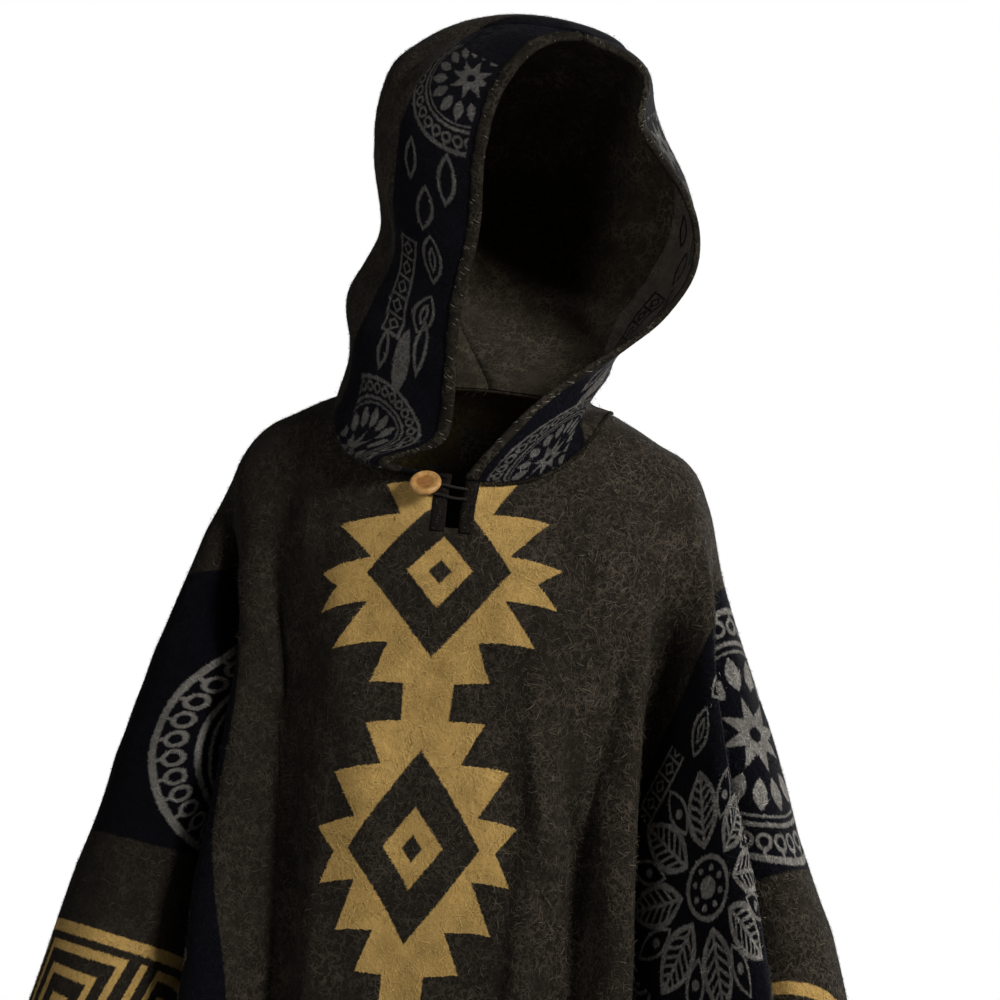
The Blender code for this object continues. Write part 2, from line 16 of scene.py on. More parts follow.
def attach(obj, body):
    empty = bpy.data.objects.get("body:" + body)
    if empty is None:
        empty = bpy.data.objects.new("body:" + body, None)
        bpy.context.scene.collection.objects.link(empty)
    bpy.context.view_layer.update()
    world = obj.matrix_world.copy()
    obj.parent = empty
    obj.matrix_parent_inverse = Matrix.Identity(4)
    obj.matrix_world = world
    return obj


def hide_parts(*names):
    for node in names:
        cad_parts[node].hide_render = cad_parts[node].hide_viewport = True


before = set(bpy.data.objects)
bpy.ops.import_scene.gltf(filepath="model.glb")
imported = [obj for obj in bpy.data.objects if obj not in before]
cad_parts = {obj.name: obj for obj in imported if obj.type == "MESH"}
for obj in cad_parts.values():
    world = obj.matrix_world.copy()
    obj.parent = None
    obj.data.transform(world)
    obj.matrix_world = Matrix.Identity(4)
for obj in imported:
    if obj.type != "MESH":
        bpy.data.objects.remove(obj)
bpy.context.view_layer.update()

# ---------------------------------------------------------------- sizes of the draped cloth
CLOTH_HALF_WIDTH = 0.72      # centre to the wrist edge
CLOTH_HALF_LENGTH = 0.86     # shoulder line to the hem
CLOTH_THICKNESS = 0.0025
SEAM_GAP = 0.0007            # between pieces that are sewn edge to edge
SHOULDER = 0.175             # u of the point of the shoulder
NECK_HALF = 0.103            # half width of the neck hole
NECK_DEPTH = {"front": 0.128, "back": 0.035}
NECK_SQUARENESS = 2.5        # 2 would be an ellipse
SLIT_LENGTH = 0.037
SLIT_HALF = 0.0062
PLACKET_WIDTH = 0.0105
PLACKET_TAIL = 0.003         # the placket strips run on below the slit
HEAD_OFFSET = 0.018          # the hood is centred a little to the wearer's left
HEAD_TURN = radians(35)      # and turned the same way
BUTTON_RADIUS = 0.0118
BUTTON_THICKNESS = 0.0045
BUTTON_PLACE = (-0.0220, 0.1370)     # u, v
LOOP_CORD = 0.0022
LOOP_FOOT = (0.0090, 0.1391)         # u, v on the far placket

# Slope of the cloth below the horizontal, in degrees, along its way down from the shoulders.
# rows: distance along the cloth, slope
FALL = {
    ("front", "middle"): ((0, 10), (0.04, 36), (0.10, 62), (0.16, 76), (0.24, 87), (0.40, 91), (0.86, 91)),
    ("front", "edge"): ((0, 8), (0.03, 40), (0.07, 66), (0.14, 82), (0.30, 88), (0.86, 90)),
    ("back", "middle"): ((0, 6), (0.04, 34), (0.10, 62), (0.18, 80), (0.30, 89), (0.86, 91)),
    ("back", "edge"): ((0, 8), (0.03, 40), (0.07, 66), (0.14, 81), (0.30, 88), (0.86, 90)),
    ("arm", "edge"): ((0, 28), (0.025, 56), (0.06, 76), (0.14, 80), (0.86, 80)),
}

# Shoulder line.  rows: u, out, up
SHOULDER_LINE = (
    (0.000, 0.000, 0.062),
    (0.060, 0.060, 0.058),
    (0.103, 0.103, 0.048),
    (0.140, 0.134, 0.035),
    (0.175, 0.160, 0.017),
)
SHOULDER_OUT, SHOULDER_UP = SHOULDER_LINE[-1][1:]

# The cloth beyond the shoulder falls in folds that fan out from it.
REACH = 0.35                 # the fold rows are measured this far from the shoulder
GATHER_LENGTH = 0.28         # the middle draws in over about this length
GATHER_MOST = 1 / (1 - np.exp(-REACH / GATHER_LENGTH))
GATHER_SPREAD = 1.6          # the outer cloth of the middle draws in more than its centre
EDGE_SPREAD = 2.2            # and takes on the fall of the middle's edge more than its centre
CAP_END, CAP_BLEND = 0.03, 0.20     # the round cap of the shoulder gives way to the folds
MEETS_MIDDLE = 45            # degrees over which the folds give way to the middle's edge
ROUND_ARM = 0.12             # length over which the cloth comes to lie round the arm
ARM_WIDENS = 0.05            # and how it goes on widening beyond REACH
FORWARD_POWER = 0.75         # the folds come forward sooner than they come out
ARM = {                      # line of the arm at REACH: out, forward, radius of the cloth round it
    "right": (0.060, 0.034, 0.046),
    "left": (0.090, 0.040, 0.046),
}
# rows: angle on the flat cloth from the wrist line (+ to the front), out, forward,
# share of the point that belongs to the tube round the arm
FOLDS = {
    "right": (
        (-90, -0.036, -0.098, 0.0),   # edge of the middle of the back
        (-83, -0.020, -0.142, 0.0),
        (-77, 0.004, -0.168, 0.0),    # inner back ridge
        (-71, 0.012, -0.150, 0.0),
        (-65, 0.000, -0.112, 0.0),
        (-59, 0.004, -0.076, 0.0),    # back trough
        (-53, 0.024, -0.092, 0.0),
        (-46, 0.050, -0.132, 0.0),
        (-40, 0.066, -0.144, 0.0),    # outer back ridge
        (-34, 0.074, -0.118, 0.0),
        (-27, 0.066, -0.070, 0.0),
        (-20, 0.062, -0.028, 0.4),    # trough behind the arm
        (-13, 0.082, -0.010, 0.9),
        (-6, 0.099, 0.012, 1.0),
        (0, 0.104, 0.034, 1.0),       # outer line of the arm
        (7, 0.092, 0.064, 1.0),
        (14, 0.062, 0.080, 1.0),
        (21, 0.028, 0.068, 1.0),
        (28, 0.012, 0.034, 0.9),
        (35, 0.000, -0.006, 0.5),
        (42, -0.020, -0.036, 0.0),    # deep trough between arm and body
        (48, -0.036, -0.012, 0.0),
        (54, -0.028, 0.026, 0.0),
        (61, -0.012, 0.058, 0.0),
        (66, 0.003, 0.084, 0.0),      # front ridge, which overhangs the arm
        (71, -0.008, 0.098, 0.0),
        (76, -0.028, 0.086, 0.0),
        (82, -0.044, 0.070, 0.0),
        (90, -0.050, 0.068, 0.0),     # edge of the middle of the front
    ),
    "left": (
        (-90, -0.036, -0.098, 0.0),
        (-83, -0.024, -0.130, 0.0),
        (-76, -0.002, -0.160, 0.0),   # inner back ridge
        (-69, 0.012, -0.146, 0.0),
        (-63, 0.008, -0.108, 0.0),
        (-57, 0.018, -0.078, 0.0),    # back trough
        (-50, 0.044, -0.104, 0.0),
        (-43, 0.070, -0.134, 0.0),
        (-36, 0.090, -0.136, 0.0),    # outer back ridge
        (-30, 0.094, -0.098, 0.0),
        (-23, 0.090, -0.052, 0.0),
        (-17, 0.094, -0.018, 0.5),    # trough behind the arm
        (-10, 0.108, 0.000, 1.0),
        (-5, 0.120, 0.018, 1.0),
        (0, 0.124, 0.040, 1.0),       # outer line of the arm
        (7, 0.115, 0.070, 1.0),
        (14, 0.094, 0.086, 1.0),
        (20, 0.074, 0.078, 0.8),
        (25, 0.066, 0.086, 0.3),      # shallow trough on the arm
        (31, 0.076, 0.112, 0.0),
        (37, 0.086, 0.132, 0.0),      # crest that lies over the arm
        (42, 0.076, 0.142, 0.0),
        (48, 0.052, 0.122, 0.0),
        (54, 0.026, 0.094, 0.0),
        (60, 0.000, 0.064, 0.0),
        (65, -0.014, 0.046, 0.0),     # trough behind the body fold
        (69, -0.012, 0.070, 0.0),
        (73, -0.001, 0.096, 0.0),     # body fold
        (77, -0.010, 0.108, 0.0),
        (82, -0.026, 0.098, 0.0),
        (86, -0.036, 0.088, 0.0),
        (90, -0.046, 0.092, 0.0),
    ),
}

# Soft ridges (+) and troughs (-) of the middle.
# rows: u, where it starts, length over which it grows, width, height, lean
MIDDLE_FOLDS = {
    "front": (
        (-0.150, 0.10, 0.30, 0.030, -0.010, 0.02),
        (-0.105, 0.20, 0.35, 0.030, 0.007, 0.00),
        (-0.040, 0.50, 0.30, 0.035, -0.010, 0.00),
        (0.040, 0.45, 0.30, 0.035, 0.010, 0.00),
        (0.118, 0.16, 0.30, 0.020, 0.010, 0.00),
        (0.155, 0.20, 0.30, 0.020, -0.006, 0.00),
    ),
    "back": (
        (-0.120, 0.12, 0.30, 0.030, -0.014, 0.00),
        (-0.050, 0.20, 0.35, 0.032, 0.014, 0.01),
        (0.030, 0.16, 0.40, 0.034, -0.012, -0.01),
        (0.110, 0.20, 0.30, 0.030, 0.014, 0.00),
    ),
}

# Guide lines of the hood, in the frame of the head, from just above the neck to the front of
# the crown.  rows: height share, sideways, forward, up
FACE_EDGE = {
    "right": (
        (0.12, 0.082, 0.092, 0.006),
        (0.25, 0.080, 0.088, 0.045),
        (0.40, 0.080, 0.086, 0.100),
        (0.55, 0.078, 0.086, 0.155),
        (0.70, 0.082, 0.086, 0.215),
        (0.82, 0.070, 0.082, 0.262),
        (0.92, 0.040, 0.074, 0.299),
        (1.00, 0.000, 0.064, 0.318),
    ),
    "left": (
        (0.12, 0.010, 0.076, 0.036),
        (0.25, 0.036, 0.080, 0.072),
        (0.40, 0.084, 0.084, 0.115),
        (0.55, 0.106, 0.088, 0.160),
        (0.70, 0.090, 0.086, 0.210),
        (0.80, 0.049, 0.084, 0.252),
        (0.92, 0.046, 0.076, 0.299),
        (1.00, 0.000, 0.064, 0.318),
    ),
}
WIDEST_LINE = {
    "right": (
        (0.12, 0.125, -0.012, 0.050),
        (0.25, 0.127, -0.018, 0.095),
        (0.40, 0.100, -0.020, 0.150),
        (0.55, 0.113, -0.020, 0.205),
        (0.70, 0.114, -0.015, 0.258),
        (0.82, 0.089, 0.002, 0.298),
        (0.92, 0.048, 0.040, 0.319),
        (1.00, 0.000, 0.064, 0.318),
    ),
    "left": (
        (0.12, 0.084, -0.012, 0.050),
        (0.25, 0.084, -0.018, 0.095),
        (0.40, 0.098, -0.020, 0.150),
        (0.55, 0.110, -0.020, 0.205),
        (0.70, 0.104, -0.015, 0.262),
        (0.82, 0.087, 0.002, 0.300),
        (0.92, 0.051, 0.040, 0.320),
        (1.00, 0.000, 0.064, 0.318),
    ),
}
CENTRE_SEAM = (
    (0.12, 0.000, -0.088, 0.060),
    (0.25, 0.000, -0.116, 0.115),
    (0.40, 0.000, -0.130, 0.190),
    (0.55, 0.000, -0.122, 0.262),
    (0.70, 0.000, -0.080, 0.319),
    (0.82, 0.000, -0.018, 0.337),
    (0.92, 0.000, 0.036, 0.332),
    (1.00, 0.000, 0.064, 0.318),
)
HOOD_TOP = 0.985             # t of the front edge of the crown
HOOD_START = 0.12            # height share of the guide lines' lowest rows
HOOD_FOOT = 0.20             # t over which the hood leaves the neck hole
# How its lower part slumps over the neck seam.
# rows: q and t of the middle, reach in q and in t, out to its side, forward, down
SLUMPS = {
    "right": (
        (0.00, 0.032, 0.17, 0.028, 0.040, 0.014, 0.001),
        (0.30, 0.050, 0.20, 0.042, 0.013, 0.012, 0.018),
        (0.00, 0.250, 0.10, 0.220, 0.009, 0.000, 0.000),
    ),
    "left": (
        (0.00, 0.055, 0.15, 0.045, 0.004, 0.006, 0.004),
        (0.50, 0.050, 0.16, 0.045, -0.018, 0.000, 0.003),
    ),
}
HOOD_BULGE = 0.16            # roundness of the sides, as a share of their width
HOOD_LIFT = 0.0010           # its lower edge stands on the cloth

SIGN = {"right": -1, "left": 1}
AHEAD = {"front": 1, "back": -1}


# ---------------------------------------------------------------- reading the tables
def smoothstep(x):
    x = np.clip(x, 0, 1)
    return x * x * (3 - 2 * x)


def curve_through(xs, ys, at):
    """The value at the places `at` of a smooth curve through the values ys at the places xs."""
    slopes = np.gradient(ys, xs)
    i = np.clip(np.searchsorted(xs, at) - 1, 0, len(xs) - 2)
    step = xs[i + 1] - xs[i]
    t = np.clip((at - xs[i]) / step, 0, 1)
    start, end = 2 * t**3 - 3 * t**2 + 1, 3 * t**2 - 2 * t**3
    leave, arrive = t**3 - 2 * t**2 + t, t**3 - t**2
    return start * ys[i] + end * ys[i + 1] + step * (leave * slopes[i] + arrive * slopes[i + 1])


def read(rows, column, at):
    """A column of a table at the places `at` of its first column, on a smooth curve."""
    xs, ys = (np.array([row[k] for row in rows], float) for k in (0, column))
    return curve_through(xs, ys, at)


FALL_STEP = 0.004
FALL_RUN = np.arange(0, 1.3, FALL_STEP)


def summed_fall(rows):
    """Distances forward and down of a cloth that follows the slopes of a FALL table."""
    slope = np.radians(np.interp(FALL_RUN, *zip(*rows)))
    forward, down = (np.cumsum(f(slope)) * FALL_STEP for f in (np.cos, np.sin))
    return forward - forward[0], down - down[0]


SUMMED = {key: summed_fall(rows) for key, rows in FALL.items()}


def fall(end, line, distance):
    return tuple(np.interp(distance, FALL_RUN, summed) for summed in SUMMED[end, line])


# ---------------------------------------------------------------- the draped cloth
LEAST_DROP = 0.2             # share of its length that a taut cloth still reaches down


def drop(length, out, forward):
    """How far down a taut length reaches when its end is that far out and forward."""
    return np.sqrt(np.maximum(length**2 - out**2 - forward**2, (LEAST_DROP * length) ** 2))


def gathered(distance):
    """How far the middle has drawn in at that distance down it, 1 at REACH."""
    return GATHER_MOST * (1 - np.exp(-distance / GATHER_LENGTH))


def edge_of_middle(side, end, distance):
    """Out, forward and up of the line down the cloth from the point of the shoulder."""
    angle = 90 * AHEAD[end]
    forward, down = fall(end, "edge", distance)
    full = read(FOLDS[side], 2, angle) * AHEAD[end] / fall(end, "edge", REACH)[0]
    out = SHOULDER_OUT + read(FOLDS[side], 1, angle) * gathered(distance)
    return out, forward * full, SHOULDER_UP - down


def middle(side, end, across, along):
    """The cloth between the shoulders: over them, down the chest or the back."""
    share = across / SHOULDER
    forward, down = fall(end, "middle", along)
    edge_out, edge_forward, edge_up = edge_of_middle(side, end, along)
    outer = share**EDGE_SPREAD
    out = read(SHOULDER_LINE, 1, across)
    out = out + (edge_out - SHOULDER_OUT) * share**GATHER_SPREAD
    forward = forward * (1 - outer) + edge_forward * outer
    up = read(SHOULDER_LINE, 2, across) - down * (1 - outer) + (edge_up - SHOULDER_UP) * outer
    for place, start, growth, width, height, lean in MIDDLE_FOLDS[end]:
        off = (SIGN[side] * across - place - lean * along) / width
        ridge = height * smoothstep((along - start) / growth) * np.exp(-off * off)
        forward = forward + ridge * (1 - share**8)
    return np.stack([SIGN[side] * out, -AHEAD[end] * forward, up], -1)


def wing(side, end, across, along):
    """The cloth beyond the shoulder: a round cap, then a tube on the arm and the folds."""
    rows, ahead = FOLDS[side], AHEAD[end]
    beyond = np.maximum(across - SHOULDER, 1e-9)
    r = np.hypot(beyond, along)
    angle = np.arctan2(along, beyond)
    degrees = np.degrees(angle) * ahead
    scale = r / REACH

    def folded(at):
        out, forward, tube = (read(rows, k, at) for k in (1, 2, 3))
        tube = np.clip(tube, 0, 1)
        arm_out, arm_forward, radius = ARM[side]
        round_arm = np.tanh(r / ROUND_ARM) + ARM_WIDENS * np.maximum(r - REACH, 0) / radius
        o = (out * (1 - tube) + arm_out * tube) * scale + (out - arm_out) * tube * round_arm
        f = forward * (1 - tube) * scale**FORWARD_POWER
        f = f + arm_forward * tube * scale + (forward - arm_forward) * tube * round_arm
        return o, f, drop(r, o, f)

    def cap(turn):
        share = np.cos(turn) ** 2
        edge, arm = fall(end, "edge", r), fall("arm", "edge", r)
        flat, down = (e * (1 - share) + a * share for e, a in zip(edge, arm))
        return flat * np.cos(turn), ahead * flat * np.sin(turn), down

    grown = smoothstep((r - CAP_END) / CAP_BLEND)

    def place(at, turn):
        return [c * (1 - grown) + f * grown for c, f in zip(cap(turn), folded(at))]

    out, forward, down = place(degrees, angle)
    edge_out, edge_forward, edge_down = place(np.full_like(r, 90.0 * ahead), np.full_like(r, pi / 2))
    want_out, want_forward, want_up = edge_of_middle(side, end, r)
    near = smoothstep((np.abs(degrees) - (90 - MEETS_MIDDLE)) / MEETS_MIDDLE)
    out = SHOULDER_OUT + out + near * (want_out - SHOULDER_OUT - edge_out)
    forward = forward + near * (ahead * want_forward - edge_forward)
    up = SHOULDER_UP - down + near * (want_up - SHOULDER_UP + edge_down)
    return np.stack([SIGN[side] * out, -forward, up], -1)


def hang(u, v):
    """Where the points u, v of the flat cloth hang."""
    place = np.zeros(u.shape + (3,))
    for side in SIGN:
        for end in AHEAD:
            here = ((u >= 0) == (side == "left")) & ((v >= 0) == (end == "front"))
            if here.any():
                across, along = np.abs(u[here]), np.abs(v[here])
                inner = middle(side, end, np.minimum(across, SHOULDER), along)
                outer = wing(side, end, across, along)
                place[here] = np.where((across <= SHOULDER)[:, None], inner, outer)
    return place


# Radius of the disc of cloth over which a point is averaged, and what is added to it round the
# point of the shoulder and along the top of the shoulders, and how far from them.
SOFT, SOFT_AT_POINT, SOFT_ON_TOP = 0.006, 0.017, 0.010
POINT_REACH, TOP_REACH = 0.14, 0.035
# The point itself, and two rings of points round it.  rows: radius, points, weight of each
CENTRE_WEIGHT, SOFT_RINGS = 0.16, ((1, 6, 0.07), (2, 12, 0.035))


def cloth(u, v):
    """The draped cloth, each point averaged over a small disc of cloth so that it bends softly."""
    u, v = (np.array(a, float) for a in np.broadcast_arrays(u, v))
    r = np.hypot(np.abs(u) - SHOULDER, v)
    on_shoulder = smoothstep((SHOULDER + 0.02 - np.abs(u)) / 0.05)
    soft = SOFT + SOFT_AT_POINT * np.exp(-((r / POINT_REACH) ** 2))
    soft = soft + SOFT_ON_TOP * np.exp(-((v / TOP_REACH) ** 2)) * on_shoulder
    total = CENTRE_WEIGHT * hang(u, v)
    for radius, count, weight in SOFT_RINGS:
        for k in range(count):
            turn = 2 * pi * k / count
            total = total + weight * hang(u + radius * cos(turn) * soft, v + radius * sin(turn) * soft)
    return total


def cloth_normal(u, v):
    step = 0.002
    across = cloth(u + step, v) - cloth(u - step, v)
    along = cloth(u, v + step) - cloth(u, v - step)
    normal = np.cross(along, across)
    return normal / np.linalg.norm(normal, axis=-1, keepdims=True)


def above_cloth(u, v, height):
    return cloth(u, v) + cloth_normal(u, v) * height


# ---------------------------------------------------------------- the neck and its slit
def neck(turn):
    """u, v of the neck hole, by the turn from its centre front (0) to its centre back (pi)."""
    power = 2 / NECK_SQUARENESS
    depth = np.where(np.cos(turn) > 0, NECK_DEPTH["front"], NECK_DEPTH["back"])
    across = NECK_HALF * np.abs(np.sin(turn)) ** power * np.sign(np.sin(turn))
    return across, depth * np.abs(np.cos(turn)) ** power * np.sign(np.cos(turn))


def slit_half(v):
    """Half the width of the open slit at v."""
    run = np.clip((v - NECK_DEPTH["front"]) / SLIT_LENGTH, 0, 1)
    return np.where(run < 1, SLIT_HALF, 0.0)


# ---------------------------------------------------------------- the hood
def slit_turn():
    """The turn round the neck hole at which the slit's edge lies."""
    return np.arcsin((SLIT_HALF / NECK_HALF) ** (NECK_SQUARENESS / 2))


def hood_foot(side):
    """The line on the neck hole to which a half of the hood is sewn."""
    u, v = neck(slit_turn() + FOOT_STEPS * (pi - slit_turn()))
    return above_cloth(SIGN[side] * np.maximum(u, 0.0), v, HOOD_LIFT)


FOOT_STEPS = np.linspace(0, 1, 401)
FOOT = {side: hood_foot(side) for side in SIGN}


def head(sideways, forward, up):
    """From the frame of the turned head to the frame of the body."""
    c, s = cos(HEAD_TURN), sin(HEAD_TURN)
    return np.stack([HEAD_OFFSET + sideways * c + forward * s, sideways * s - forward * c, up], -1)


def hood(side, q, t):
    """q: 0 at the face edge, 1 at the centre seam. t: 0 at the neck, 1 at the crown's front."""
    q, t = (np.array(a, float) for a in np.broadcast_arrays(q, t))
    sign = SIGN[side]
    h = HOOD_START + (1 - HOOD_START) * t
    edge, widest, seam = (
        head(sign * read(rows, 1, h), read(rows, 2, h), read(rows, 3, h))
        for rows in (FACE_EDGE[side], WIDEST_LINE[side], CENTRE_SEAM)
    )
    outward = np.array([sign * cos(HEAD_TURN), sign * sin(HEAD_TURN), 0.0])
    half = (2 * q)[..., None]
    width = np.linalg.norm(widest - edge, axis=-1, keepdims=True)
    cheek = edge + (widest - edge) * half + outward * width * HOOD_BULGE * np.sin(pi * half)
    sideways = outward * np.sum((widest - seam) * outward, -1, keepdims=True)
    turn = (half - 1) * pi / 2
    back = seam + sideways * np.cos(turn) + (widest - seam - sideways) * (1 - np.sin(turn))
    upper = np.where(half <= 1, cheek, back)
    foot = np.stack([np.interp(q, FOOT_STEPS, column) for column in FOOT[side].T], -1)
    level, height = smoothstep(t / HOOD_FOOT), np.sin(np.clip(t / HOOD_FOOT, 0, 1) * pi / 2)
    risen = np.stack([level, level, height], -1)
    place = foot * (1 - risen) + upper * risen
    for middle_q, middle_t, reach_q, reach_t, out, forward, down in SLUMPS[side]:
        off_q, off_t = (q - middle_q) / reach_q, (t - middle_t) / reach_t
        share = np.exp(-off_q**2 - off_t**2) * smoothstep(t / 0.025)
        place = place + share[..., None] * np.array([sign * out, -forward, -down])
    return place


def hood_normal(side, q, t):
    step = 0.01
    low, high = np.clip(q - step, 0, 1), np.clip(q + step, 0, 1)
    across = hood(side, high, t) - hood(side, low, t)
    down, top = np.clip(t - step, 0, 1), np.clip(t + step, 0, 1)
    rise = hood(side, q, top) - hood(side, q, down)
    normal = np.cross(rise, across) * -SIGN[side]
    return normal / np.linalg.norm(normal, axis=-1, keepdims=True)


# ---------------------------------------------------------------- numbers worked out by nodes
class Reading:
    """A number that varies over a surface, worked out by the nodes of a material's tree."""

    def __init__(self, tree, socket):
        self.tree, self.socket = tree, socket

    def math(self, operation, *others, clamp=False):
        node = self.tree.nodes.new("ShaderNodeMath")
        node.operation = operation
        node.use_clamp = clamp
        for slot, value in zip(node.inputs, (self, *others)):
            if isinstance(value, Reading):
                self.tree.links.new(value.socket, slot)
            else:
                slot.default_value = value
        return Reading(self.tree, node.outputs[0])

    def __add__(self, other):
        return self.math("ADD", other)

    def __sub__(self, other):
        return self.math("SUBTRACT", other)

    def __mul__(self, other):
        return self.math("MULTIPLY", other)

    def __truediv__(self, other):
        return self.math("DIVIDE", other)

    def __abs__(self):
        return self.math("ABSOLUTE")

    def least(self, other):
        return self.math("MINIMUM", other)

    def most(self, other):
        return self.math("MAXIMUM", other)

    def root(self):
        return self.math("SQRT")

    def squared(self):
        return self.math("MULTIPLY", self)

    def fraction(self):
        return self.math("FRACT")

    def negative(self):
        return self.math("MULTIPLY", -1.0)

    def inside(self, soft=0.0009):
        """1 where the distance is below zero, with an edge as wide as soft."""
        return self.math("MULTIPLY_ADD", -1.0 / soft, 0.5, clamp=True)

    def ramp(self, *stops):
        """Straight lines through (place, value) stops, values up to 1."""
        node = self.tree.nodes.new("ShaderNodeValToRGB")
        marks = node.color_ramp.elements
        for mark, (place, value) in zip(marks, stops):
            mark.position, mark.color = place, (value, value, value, 1)
        for place, value in stops[2:]:
            marks.new(place).color = (value, value, value, 1)
        self.tree.links.new(self.socket, node.inputs[0])
        return Reading(self.tree, node.outputs[0])


def union(*distances):
    whole = distances[0]
    for distance in distances[1:]:
        whole = whole.least(distance)
    return whole


def band(reading, low, high):
    """Distance below zero between low and high."""
    return abs(reading - (low + high) / 2) - (high - low) / 2


def box(a, b, low_a, high_a, low_b, high_b):
    return band(a, low_a, high_a).most(band(b, low_b, high_b))


def hypot(a, b):
    return (a.squared() + b.squared()).root()


def nearest(reading, first, spacing):
    """Signed distance to the nearest of evenly spaced places."""
    return ((reading - first) / spacing + 0.5).fraction() * spacing - spacing / 2


def around(a, b, count, phase=0.0):
    """Distance from the centre, and distance along the circle to the nearest of count spokes."""
    r = hypot(a, b)
    turn = b.math("ARCTAN2", a) * (count / (2 * pi)) + (phase + count + 0.5)
    return r, (turn.fraction() - 0.5) * r * (2 * pi / count)


def petal(s, t, start, length, half_width):
    """A leaf from start to start + length along s."""
    share = (s - start) * (2 / length) - 1.0
    return abs(t) - (share.squared().negative() + 1.0) * half_width


def outline(distance, width):
    """A line of that width just inside the edge of a shape."""
    return abs(distance + width / 2) - width / 2


# ---------------------------------------------------------------- the woven designs
MOTIF_FIRST, MOTIF_REPEAT = 0.203, 0.198     # v of the first gold motif, and to the next
MOTIF_REACH = 0.1                            # the toothed outline's readings are shares of this
PLAIN_AT_NECK = (-0.080, 0.090)              # no motif over the shoulders
DIAMOND_RISE = 0.005                         # the upper diamonds sit a little above the middle of the teeth
TOOTHED_OUTLINE = (                          # share of the way up from the motif's centre, half width
    (0.000, 0.845), (0.148, 1.050), (0.162, 0.570), (0.463, 0.870),
    (0.476, 0.365), (0.798, 0.500), (0.812, 0.200), (1.000, 0.200),
)
LOWER_OUTLINE = (                            # the same for the motif below it, which is taller in its teeth
    (0.000, 0.750), (0.190, 0.950), (0.204, 0.545), (0.518, 0.800),
    (0.531, 0.345), (0.798, 0.515), (0.812, 0.200), (1.000, 0.200),
)
BLOCK = (0.295, 0.520)                       # |u| of the dark block on each arm
BLOCK_MIDDLE = 0.4135
BLOCK_REPEAT, FLOWER_RUN = 0.540, 0.215      # along the cloth, from medallion to medallion and to the flower
MEDALLION_AT = (0.158, 0.035)                # v of a medallion, on the wearer's right arm and left arm
BORDER_LINE = (0.5920, 0.6012)
FRET_TOP, FRET_HEIGHT, FRET_HALF = 0.6075, 0.093, 0.062
FRET_END_LINE = (0.7050, 0.7095)
KEY_FIRST = 0.031                            # v of the middle of the first key
MOTIF_SWITCH = 5000.0                        # how sharply the upper outline gives way to the lower one
# The diamonds in each motif.  rows: half width, half height, slope that brings the reading to metres
DARK_DIAMOND = (0.0600, 0.0615, 0.043)
GOLD_DIAMOND = (0.0260, 0.0262, 0.019)
HEART = (0.0088, 0.0090, 0.006)
# Bars of the key pattern.  rows: from and to along the cloth, from and to towards the wrist
KEY_BARS = (
    (-0.0100, 0.0036, 0.0, FRET_HEIGHT),
    (0.0155, 0.0225, 0.0, FRET_HEIGHT),
    (0.0155, 0.0700, 0.0, 0.0072),
    (0.0335, 0.0405, 0.018, 0.078),
    (0.0335, 0.0700, 0.018, 0.025),
    (0.0335, 0.0505, 0.071, 0.078),
    (0.0515, 0.0585, 0.038, 0.060),
    (0.0515, 0.0700, 0.038, 0.045),
)


def diamond(across, up, half_width, half_height, slope):
    return (across / half_width + up / half_height - 1.0) * slope


def gold_column(u, v):
    """The stepped gold motifs down the middle of the cloth."""
    across, up = abs(u), abs(nearest(v, MOTIF_FIRST, MOTIF_REPEAT))
    lower = ((v - MOTIF_FIRST - MOTIF_REPEAT / 2) * MOTIF_SWITCH).most(0.0).least(1.0)
    upper_half, lower_half = ((up / MOTIF_REACH).ramp(*rows) for rows in (TOOTHED_OUTLINE, LOWER_OUTLINE))
    half_width = (upper_half + (lower_half - upper_half) * lower) * MOTIF_REACH
    teeth = across - half_width
    rise = (v / -MOTIF_REPEAT + (MOTIF_FIRST / MOTIF_REPEAT + 1)).most(0.0).least(1.0) * DIAMOND_RISE
    up = abs(nearest(v + rise, MOTIF_FIRST, MOTIF_REPEAT))
    dark, gold, heart = (diamond(across, up, *size) for size in (DARK_DIAMOND, GOLD_DIAMOND, HEART))
    motifs = teeth.most(dark.negative()).least(gold.most(heart.negative()))
    return motifs.most(band(v, *PLAIN_AT_NECK).negative())


def fret(u, v):
    """The gold border line and the key pattern beyond it, near the wrist edges."""
    across = abs(u)
    key, out = abs(nearest(v, KEY_FIRST, 2 * FRET_HALF)), across - FRET_TOP
    bars = (box(key, out, *bar) for bar in KEY_BARS)
    return union(band(across, *BORDER_LINE), band(across, *FRET_END_LINE), *bars)


DRAWN_RADIUS = 0.1           # the round designs are drawn at this radius, then scaled


def medallion(a, b, radius):
    """A round medallion: a ring of small loops, thin rings, a ring of narrow petals and a star."""
    k = radius / DRAWN_RADIUS
    a, b = a / k, b / k
    r, along = around(a, b, 34)
    rim = band(r, 0.0950, 0.1000)
    loops = abs(hypot(r - 0.0850, along) - 0.0056) - 0.0015
    stems = box(r, along, 0.0900, 0.0955, -0.0014, 0.0014)
    rings = band(r, 0.0700, 0.0735).least(band(r, 0.0640, 0.0660))
    petals = petal(*around(a, b, 16), 0.0345, 0.0265, 0.0066)
    r, ray = around(a, b, 8)
    star = abs(ray) - (r.negative() + 0.0300) * 0.36
    hole = r - 0.0060
    return union(rim, loops, stems, rings, petals, star.most(hole.negative())) * k


